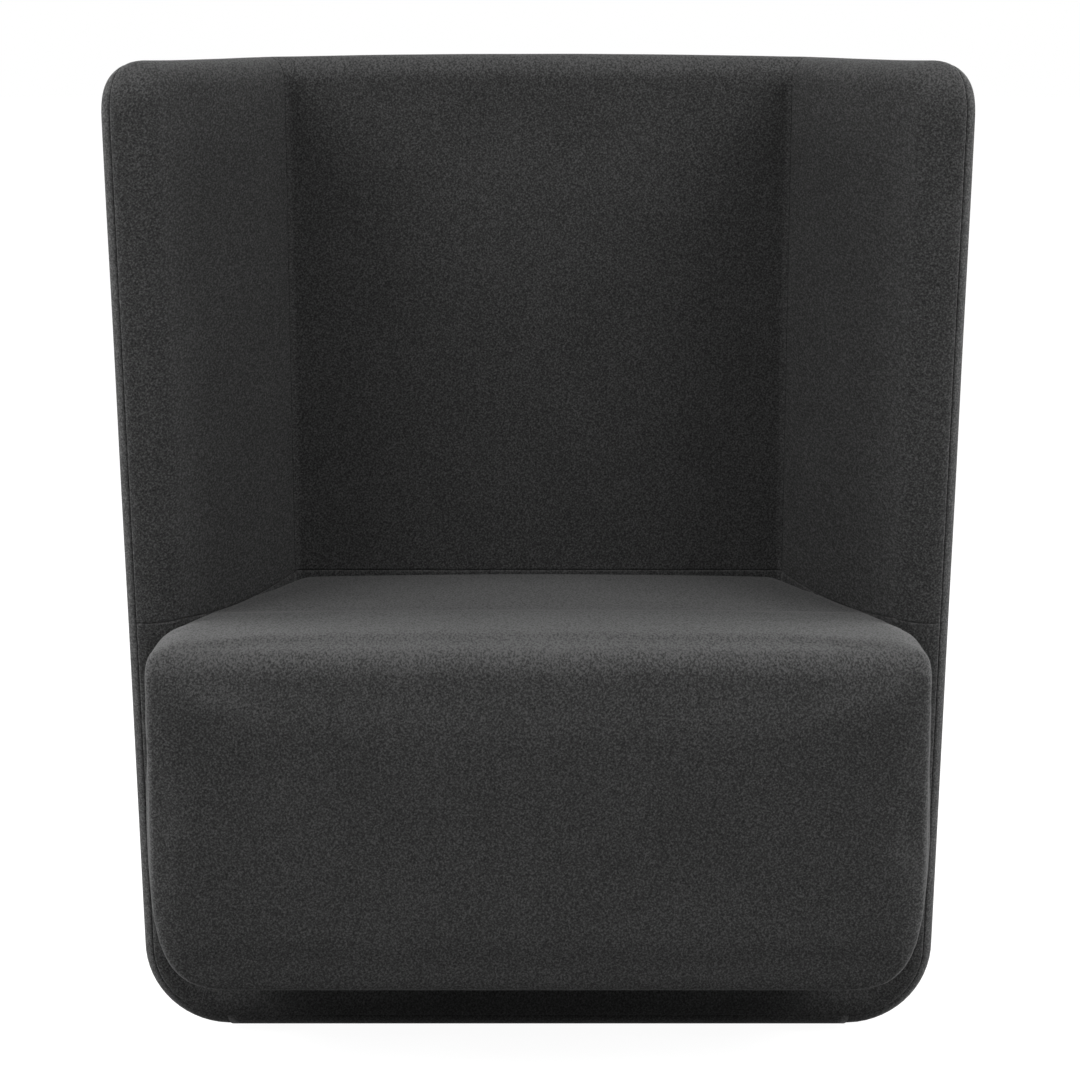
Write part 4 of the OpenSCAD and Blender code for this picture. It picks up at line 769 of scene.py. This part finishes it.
def rear_panel():
    """Rings: from the seam round the rounded edge, then shrinking towards the middle of the face.
    At a top corner a column starts at a turn round it and a turn over the edge, and ends lower."""
    roll = steps((FOOT_W0, 0, 18), (0, SHELL_H - EDGE_R - CORNER_FALL - LOWER_R, 60))
    seam = BACK_SEAM - SEAM_SLIT
    starts = np.array([[0, n] for n in steps((-np.pi / 2, seam, 7))[:-1]]
                      + [[t, seam] for t in steps((0, np.pi / 2, 10))[:-1]])
    fall = CORNER_FALL * (1 - (np.arange(len(starts)) + 1) / (len(starts) + 1))
    top = steps((1, 0, 45))
    foot = np.linspace(0, 1, 40, endpoint=False)[1:]
    round_off = np.concatenate([[0, 0.001, 0.012, 0.035, 0.07], np.linspace(0.1, 1, 13)])[:, None]

    def ring(cut):
        """Points for one row of rounding steps, as rows by columns round the outline."""
        turn = np.pi / 2 * round_off
        c = cut + 0 * round_off if np.isscalar(cut) else cut
        inset = c + (BACK_EDGE_R - c) * (1 - np.cos(turn))
        d = OUTER_REACH + (BACK_EDGE_R - c) * np.sin(turn)
        z = np.where(roll < 0, LOWER_R - (LOWER_R - inset) * np.sin(np.clip(-roll / LOWER_R, 0, np.pi / 2)),
                     LOWER_R + roll)
        side = shell_point(back_at(z) + d, roll + 0 * inset, inset + 0 * roll)
        corner_turn = starts[:, 0] + (np.pi / 2 - starts[:, 0]) * round_off
        corner_nose = starts[:, 1] + (-np.pi / 2 - starts[:, 1]) * round_off
        thickness = back_thickness(corner_turn)
        cz = SHELL_H - EDGE_R + (EDGE_R - c) * np.cos(corner_nose)
        corner = back_point(1.0, corner_turn, cz, 0.5 + (0.5 - c / thickness) * np.sin(corner_nose))
        corner[..., 2] -= fall * round_off
        corner[..., 1] -= LEAN_Y * fall * round_off
        nose = seam + (-np.pi / 2 - seam) * round_off + 0 * top
        tz = SHELL_H - EDGE_R + (EDGE_R - c) * np.cos(nose)
        upper = back_point(top + 0 * nose, np.pi / 2 + 0 * nose, tz, 0.5 + (0.5 - c / BACK_T) * np.sin(nose))
        half = np.concatenate([side, corner, upper], 1)
        whole = np.concatenate([half, mirrored(half[:, -2::-1])], 1)
        ends = (whole[:, -1:], whole[:, :1])
        return np.concatenate([whole, ends[0] + (ends[1] - ends[0]) * foot[:, None]], 1)

    cut = dip(round_off * 36)
    cut[0] = SEAM_DEPTH + TUCK
    outside, inside = ring(cut), ring(REAR_T)
    middle_z = 500
    centre = np.array([0.0, FRONT_Y + back_at(middle_z) + BACK_T, GAP + middle_z])
    shares = np.concatenate([np.linspace(0.97, 0.06, 34), [0.0005]])[:, None, None]
    face = centre + (outside[-1] - centre) * shares
    wave = (np.sin(face[..., 0] / 71 + 0.5) * np.sin(face[..., 2] / 93)
            + 0.5 * np.sin(face[..., 0] / 39 + face[..., 2] / 57))
    face[..., 1] += (REAR_CROWN + REAR_WAVE * wave) * (1 - np.exp(-(1 - shares[..., 0]) * 10))
    deep = centre + (inside[-1] - centre) * shares
    outside, inside = np.concatenate([outside, face]), np.concatenate([inside, deep])
    rows, columns = outside.shape[:2]
    index = np.arange(rows * columns).reshape(rows, columns)
    after = np.roll(index, -1, axis=1)
    skin = np.stack([index[:-1], after[:-1], after[1:], index[1:]], -1).reshape(-1, 4)
    total = rows * columns
    rim = np.stack([after[0], index[0], index[0] + total, after[0] + total], -1)
    ends = [outside[-1].mean(0), inside[-1].mean(0)]
    outside[-1], inside[-1] = ends
    piece = skin_mesh("rear_panel", np.concatenate([outside.reshape(-1, 3), inside.reshape(-1, 3)]),
                      np.concatenate([skin, skin[:, ::-1] + total, rim]), FELT)
    close_poles(piece)
    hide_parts("back_outer_cover", "back_outer_pad")


def close_poles(piece):
    """Merges the points that meet at a pole, so that the skin is closed there."""
    mesh = bmesh.new()
    mesh.from_mesh(piece.data)
    bmesh.ops.remove_doubles(mesh, verts=mesh.verts, dist=1e-6)
    mesh.to_mesh(piece.data)
    mesh.free()


rear_panel()

# Seat block
# The seat is one upholstered block: foam on a webbed box, covered in a single piece of felt that
# wraps over its edges. It is wider than the shell's opening in front and is bolted to the base.

# The overhang in front, the bulge of the front face, the crown of the top, and half the front's width
OVERHANG_S, SEAT_BULGE, SEAT_CROWN, SEAT_HALF = 176.0, 4.0, 4.0, 403.0
# Radii of the front edge, of the side edges, and of the rim round the front face
FRONT_R, SIDE_R, RIM_R = 29.0, 11.0, 8.0
# The lower corners are superellipses of this width, height and power
CORNER_RUN, CORNER_RISE, CORNER_POWER = 90.0, 165.0, 2 / 3.2
# The power by which the bulge falls off to the rim, the run in which the sides turn from parallel to
# splayed, and the clearance from the wings
SEAT_TILT, PILLOW, EASE_RUN, SIDE_GAP = np.tan(TILT_TURN), 9, 90, 0.3


def drawn_in(e, r):
    """How far a rounded edge of radius r has drawn in at a distance e behind the front face."""
    return r - np.sqrt(np.maximum(r ** 2 - np.maximum(r - e, 0) ** 2, 0))


def block_half(s, z):
    """Half the block's width: parallel in front, splayed in the shell, and between them the cubic curve
    that meets both without a kink."""
    inner = FOOT_W / 2 + LEAN_X * (z - LOWER_R) - WALL - SIDE_GAP
    u = np.clip(1 + s / EASE_RUN, 0, 1)
    eased = SEAT_HALF * (1 + 2 * u) * (1 - u) ** 2 + inner * u * u * (3 - 2 * u)
    return np.where(s >= 0, inner - SPLAY * s, eased - SPLAY * EASE_RUN * u * u * (u - 1))


def block_loop(s, inset):
    """A section: the bottom, the lower corners, the sides, the rounded side edges and the crown.
    inset is how far the whole surface is drawn in, so that the swelling of the cloth fills it."""
    e = s + OVERHANG_S - inset
    side_in, top_in = inset + drawn_in(e, RIM_R), inset + drawn_in(e, FRONT_R)
    top = SEAT_Z - (s + SEAT_REACH) * SEAT_TILT - top_in
    low = UNDER_Z + side_in
    turn = np.radians(np.linspace(0, 90, 21))
    lower = np.stack([-CORNER_RUN * (1 - np.sin(turn) ** CORNER_POWER),
                      low + CORNER_RISE * (1 - np.cos(turn) ** CORNER_POWER)], 1)
    lower[:, 0] += block_half(s, lower[:, 1]) - side_in
    turn = np.radians(np.linspace(0, 90, 8))
    side_z = np.linspace(low + CORNER_RISE, top - SIDE_R, 14)[1:-1]
    side = np.stack([block_half(s, side_z) - side_in, side_z], 1)
    upper = np.stack([-SIDE_R * (1 - np.cos(turn)), top - SIDE_R * (1 - np.sin(turn))], 1)
    upper[:, 0] += block_half(s, top - SIDE_R) - side_in
    share = np.linspace(1, 0, 16)[1:, None]
    crown = SEAT_CROWN * (1 - share ** 2) * np.clip((s + OVERHANG_S) / (2 * FRONT_R), 0, 1)
    across = np.concatenate([upper[-1, 0] * share, upper[-1, 1] + crown], 1)
    floor = np.stack([np.linspace(0, lower[0, 0], 10)[:-1], np.full(9, low)], 1)
    half = np.concatenate([floor, lower, side, upper, across])
    return np.concatenate([half, half[-2:0:-1] * [-1, 1]])


def seat_block():
    """Loops from the back to the front face, whose last loops shrink to its middle and bulge. The
    first loops round the rear edge: each stands a gap off the back and is narrower by a little."""
    inset, rear_gap = 2.0, 0.8
    rear = back_at(SEAT_REAR_Z) - rear_gap
    rows = []
    for gap, narrow in ((rear_gap, 6.0), (3.0, 2.0), (7.0, 0.0)):
        loop = block_loop(rear, inset)
        s = back_at(loop[:, 1]) - gap
        half = block_half(rear, loop[:, 1])
        rows.append(np.stack([loop[:, 0] * (1 + (SPLAY * (rear - s) - narrow) / half), s, loop[:, 1]], 1))
    front = -OVERHANG_S + inset
    run = (rear - LEAN_Y * (SEAT_REAR_Z - UNDER_Z)) * np.linspace(0.94, 0, 16)
    ahead = np.linspace(0, front + FRONT_R, 15)[1:]
    roll = front + FRONT_R * np.array([0.86, 0.72, 0.58, 0.46, 0.35, 0.25, 0.16, 0.09, 0.04, 0.01, 0])
    for s in (*run, *ahead, *roll):
        loop = block_loop(s, inset)
        rows.append(np.stack([loop[:, 0], 0 * loop[:, 0] + s, loop[:, 1]], 1))
    face = rows[-1]
    middle = np.array([0, front, (SEAT_Z + UNDER_Z) / 2])
    for share in (0.985, 0.97, 0.95, *np.linspace(0.92, 0.04, 13)):
        row = middle + (face - middle) * share
        row[:, 1] = front - SEAT_BULGE * (1 - share ** PILLOW)
        rows.append(row)
    grid = np.stack(rows)
    grid[..., 1] += FRONT_Y
    grid[..., 2] += GAP
    count = grid.shape[1]
    points = np.concatenate([grid.reshape(-1, 3), grid[0].mean(0)[None], grid[-1].mean(0)[None]])
    index = np.arange(grid.shape[0] * count).reshape(-1, count)
    after = np.roll(index, -1, axis=1)
    faces = np.stack([index[:-1], after[:-1], after[1:], index[1:]], -1).reshape(-1, 4)
    ends = []
    for row, pole, turned in ((index[0], len(points) - 2, False), (index[-1], len(points) - 1, True)):
        pairs = np.stack([row[0::2], row[1::2], np.roll(row, -2)[0::2], np.full(count // 2, pole)], -1)
        ends.append(pairs[:, ::-1] if turned else pairs)
    faces = np.concatenate([faces] + ends)
    piece = skin_mesh("seat_block", points, faces, FELT)
    plump(piece)
    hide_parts("seat_cover", "seat_foam", "seat_front_foam", "seat_wrap_foam")


VOXEL, CLOTH_FRAMES, MOST_MOVE = 6 * MM, 20, 3.5 * MM
CLOTH = {"quality": 4, "mass": 0.4, "tension_stiffness": 40, "compression_stiffness": 40,
         "shear_stiffness": 15, "bending_stiffness": 6, "use_pressure": True,
         "uniform_pressure_force": 4, "vertex_group_mass": "stapled"}


def plump(piece):
    """Voxel remesh, then the cloth under pressure from inside, held where the block is stapled or
    rests against the shell. A point moves at most MOST_MOVE, and then the faces are divided once."""
    scene = bpy.context.scene
    bpy.context.view_layer.objects.active = piece
    remesh = piece.modifiers.new("even_cloth", "REMESH")
    remesh.mode = "VOXEL"
    remesh.voxel_size = VOXEL
    remesh.use_smooth_shade = True
    apply_modifiers(piece)
    mesh = piece.data
    start = np.empty(len(mesh.vertices) * 3)
    mesh.vertices.foreach_get("co", start)
    start = start.reshape(-1, 3)
    held = np.clip(1 - (start[:, 2] / MM - GAP - UNDER_Z) / 60, 0, 1)
    against = np.clip((start[:, 1] / MM - FRONT_Y - 40) / 60, 0, 1)
    weight = np.maximum(held, against * 0.97)
    group = piece.vertex_groups.new(name="stapled")
    for i in np.flatnonzero(weight > 0.02):
        group.add([int(i)], float(weight[i]), "REPLACE")
    cloth = piece.modifiers.new("felt_cloth", "CLOTH")
    for setting, value in CLOTH.items():
        setattr(cloth.settings, setting, value)
    cloth.settings.effector_weights.gravity = 0
    cloth.point_cache.frame_start, cloth.point_cache.frame_end = 1, CLOTH_FRAMES
    for frame_number in range(1, CLOTH_FRAMES + 1):
        scene.frame_set(frame_number)
    shaped = piece.evaluated_get(bpy.context.evaluated_depsgraph_get()).data
    moved = np.empty(len(shaped.vertices) * 3)
    shaped.vertices.foreach_get("co", moved)
    move = moved.reshape(-1, 3) - start
    length = np.linalg.norm(move, axis=1, keepdims=True)
    move *= MOST_MOVE * np.tanh(length / MOST_MOVE) / np.maximum(length, 1e-9)
    piece.modifiers.remove(cloth)
    piece.vertex_groups.clear()
    mesh.vertices.foreach_set("co", (start + move).reshape(-1))
    scene.frame_set(1)
    smooth = piece.modifiers.new("settled", "CORRECTIVE_SMOOTH")
    smooth.iterations, smooth.use_only_smooth = 2, True
    divide = piece.modifiers.new("fine_faces", "SUBSURF")
    divide.levels = divide.render_levels = 1
    apply_modifiers(piece)


def apply_modifiers(piece):
    """Puts the shape that the modifiers give into the mesh itself."""
    shaped = bpy.data.meshes.new_from_object(piece.evaluated_get(bpy.context.evaluated_depsgraph_get()))
    piece.modifiers.clear()
    old, piece.data = piece.data, shaped
    bpy.data.meshes.remove(old)
    shaped.polygons.foreach_set("use_smooth", np.ones(len(shaped.polygons), bool))


seat_block()

# Dust cover
# A sheet of thin black non-woven cloth, stretched and stapled under the base board, with holes for
# the four glides and the four seat bolts.


def dust_sheet():
    """The CAD sheet's own mesh, copied and merged, because a stretched sheet is flat: a non-woven of
    pressed black fibres, matt, with a fine random web."""
    made, tree = material("dust_cloth", Roughness=0.9, Specular_IOR_Level=0.15)
    place = add(tree, "TexCoord").outputs["Object"]
    web = add(tree, "TexNoise", Vector=place, Scale=METRE / 0.9, Detail=3.0, Roughness=0.7)
    surface(tree, add(tree, "ValToRGB", stops=((0.3, "#0c0c0c"), (0.7, "#1c1c1c")), Fac=web),
            add(tree, "Bump", Height=web, Strength=0.3, Distance=0.2 * MM))
    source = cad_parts["dust_cover"]
    mesh = source.data.copy()
    piece = bpy.data.objects.new("dust_cloth", mesh)
    mesh.materials.clear()
    mesh.materials.append(made)
    bpy.context.scene.collection.objects.link(piece)
    close_poles(piece)
    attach(piece, "chair")
    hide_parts("dust_cover")


dust_sheet()

# Floor, backdrop and light
# Not part of the chair: a pale sweep that is white to the camera, with the chair's soft shadow.


def shade_backdrop():
    """A large floor plane. The camera sees white, darkened only where the chair shades the floor."""
    mesh = bpy.data.meshes.new("floor")
    mesh.from_pydata([(-30, -30, 0), (30, -30, 0), (30, 30, 0), (-30, 30, 0)], [], [(0, 1, 2, 3)])
    floor = bpy.data.objects.new("floor", mesh)
    bpy.context.scene.collection.objects.link(floor)
    made, tree = material("pale_floor", Roughness=0.9, Specular_IOR_Level=0.0,
                          Base_Color=linear("#8f8f8f"), Emission_Color=(1, 1, 1, 1))
    path = add(tree, "LightPath").outputs
    seen = add(tree, "Math", {"operation": "MAXIMUM"}, i0=path["Is Camera Ray"], i1=path["Is Glossy Ray"])
    glow = add(tree, "Math", {"operation": "MULTIPLY"}, i0=seen, i1=0.95)
    tree.links.new(glow.outputs[0], tree.nodes["Principled BSDF"].inputs["Emission Strength"])
    mesh.materials.append(made)


shade_backdrop()


def studio_world():
    """A soft dome that is brightest overhead: the sine of the height above the horizon, to the sixth
    power. The camera, mirrors and glass see plain white."""
    world = bpy.data.worlds.new("studio")
    bpy.context.scene.world = world
    world.use_nodes = True
    tree = world.node_tree
    tree.nodes.clear()
    direction = add(tree, "SeparateXYZ", Vector=add(tree, "TexCoord").outputs["Generated"])
    height = add(tree, "Math", {"operation": "MAXIMUM"}, i0=direction.outputs["Z"], i1=0.0)
    dome = add(tree, "Math", {"operation": "POWER"}, i0=height, i1=6.0)
    strength = add(tree, "Math", {"operation": "MULTIPLY"}, i0=dome, i1=1.7)
    path = add(tree, "LightPath").outputs
    sharp = add(tree, "Math", {"operation": "MAXIMUM"}, i0=path["Is Glossy Ray"],
                i1=path["Is Transmission Ray"])
    seen = add(tree, "Math", {"operation": "MAXIMUM"}, i0=path["Is Camera Ray"], i1=sharp)
    light = add(tree, "Background", i0=(1, 1, 1, 1), i1=strength)
    plain = add(tree, "Background", i0=(1, 1, 1, 1), i1=1.0)
    add(tree, "OutputWorld", i0=add(tree, "MixShader", i0=seen, i1=light, i2=plain))


studio_world()


def area_lamp(name, place, target, size, power):
    """A square soft lamp turned towards a point, both in metres."""
    lamp = bpy.data.lights.new(name, "AREA")
    lamp.shape, lamp.size, lamp.energy = "SQUARE", size, power
    holder = bpy.data.objects.new(name, lamp)
    holder.location = place
    toward = mathutils.Vector(target) - mathutils.Vector(place)
    holder.rotation_euler = toward.to_track_quat("-Z", "Y").to_euler()
    bpy.context.scene.collection.objects.link(holder)


for side, sign in (("left", -1), ("right", 1)):
    area_lamp(f"front_{side}", (2.2 * sign, -1.8, 2.4), (0, 0, 0.5), 1.4, 35)
    area_lamp(f"side_{side}", (3.0 * sign, 0.4, 0.6), (0, 0, 0.5), 1.8, 95)

camera_data = bpy.data.cameras.new("camera")
camera_data.lens, camera_data.sensor_width = 89.064, 36
camera = bpy.data.objects.new("camera", camera_data)
camera.location = (0.0018, -2.8949, 1.1156)
camera.rotation_euler = (np.radians(90 - 11.336), 0, 0)
bpy.context.scene.collection.objects.link(camera)
bpy.context.scene.camera = camera
bpy.context.scene.view_settings.view_transform = "Standard"
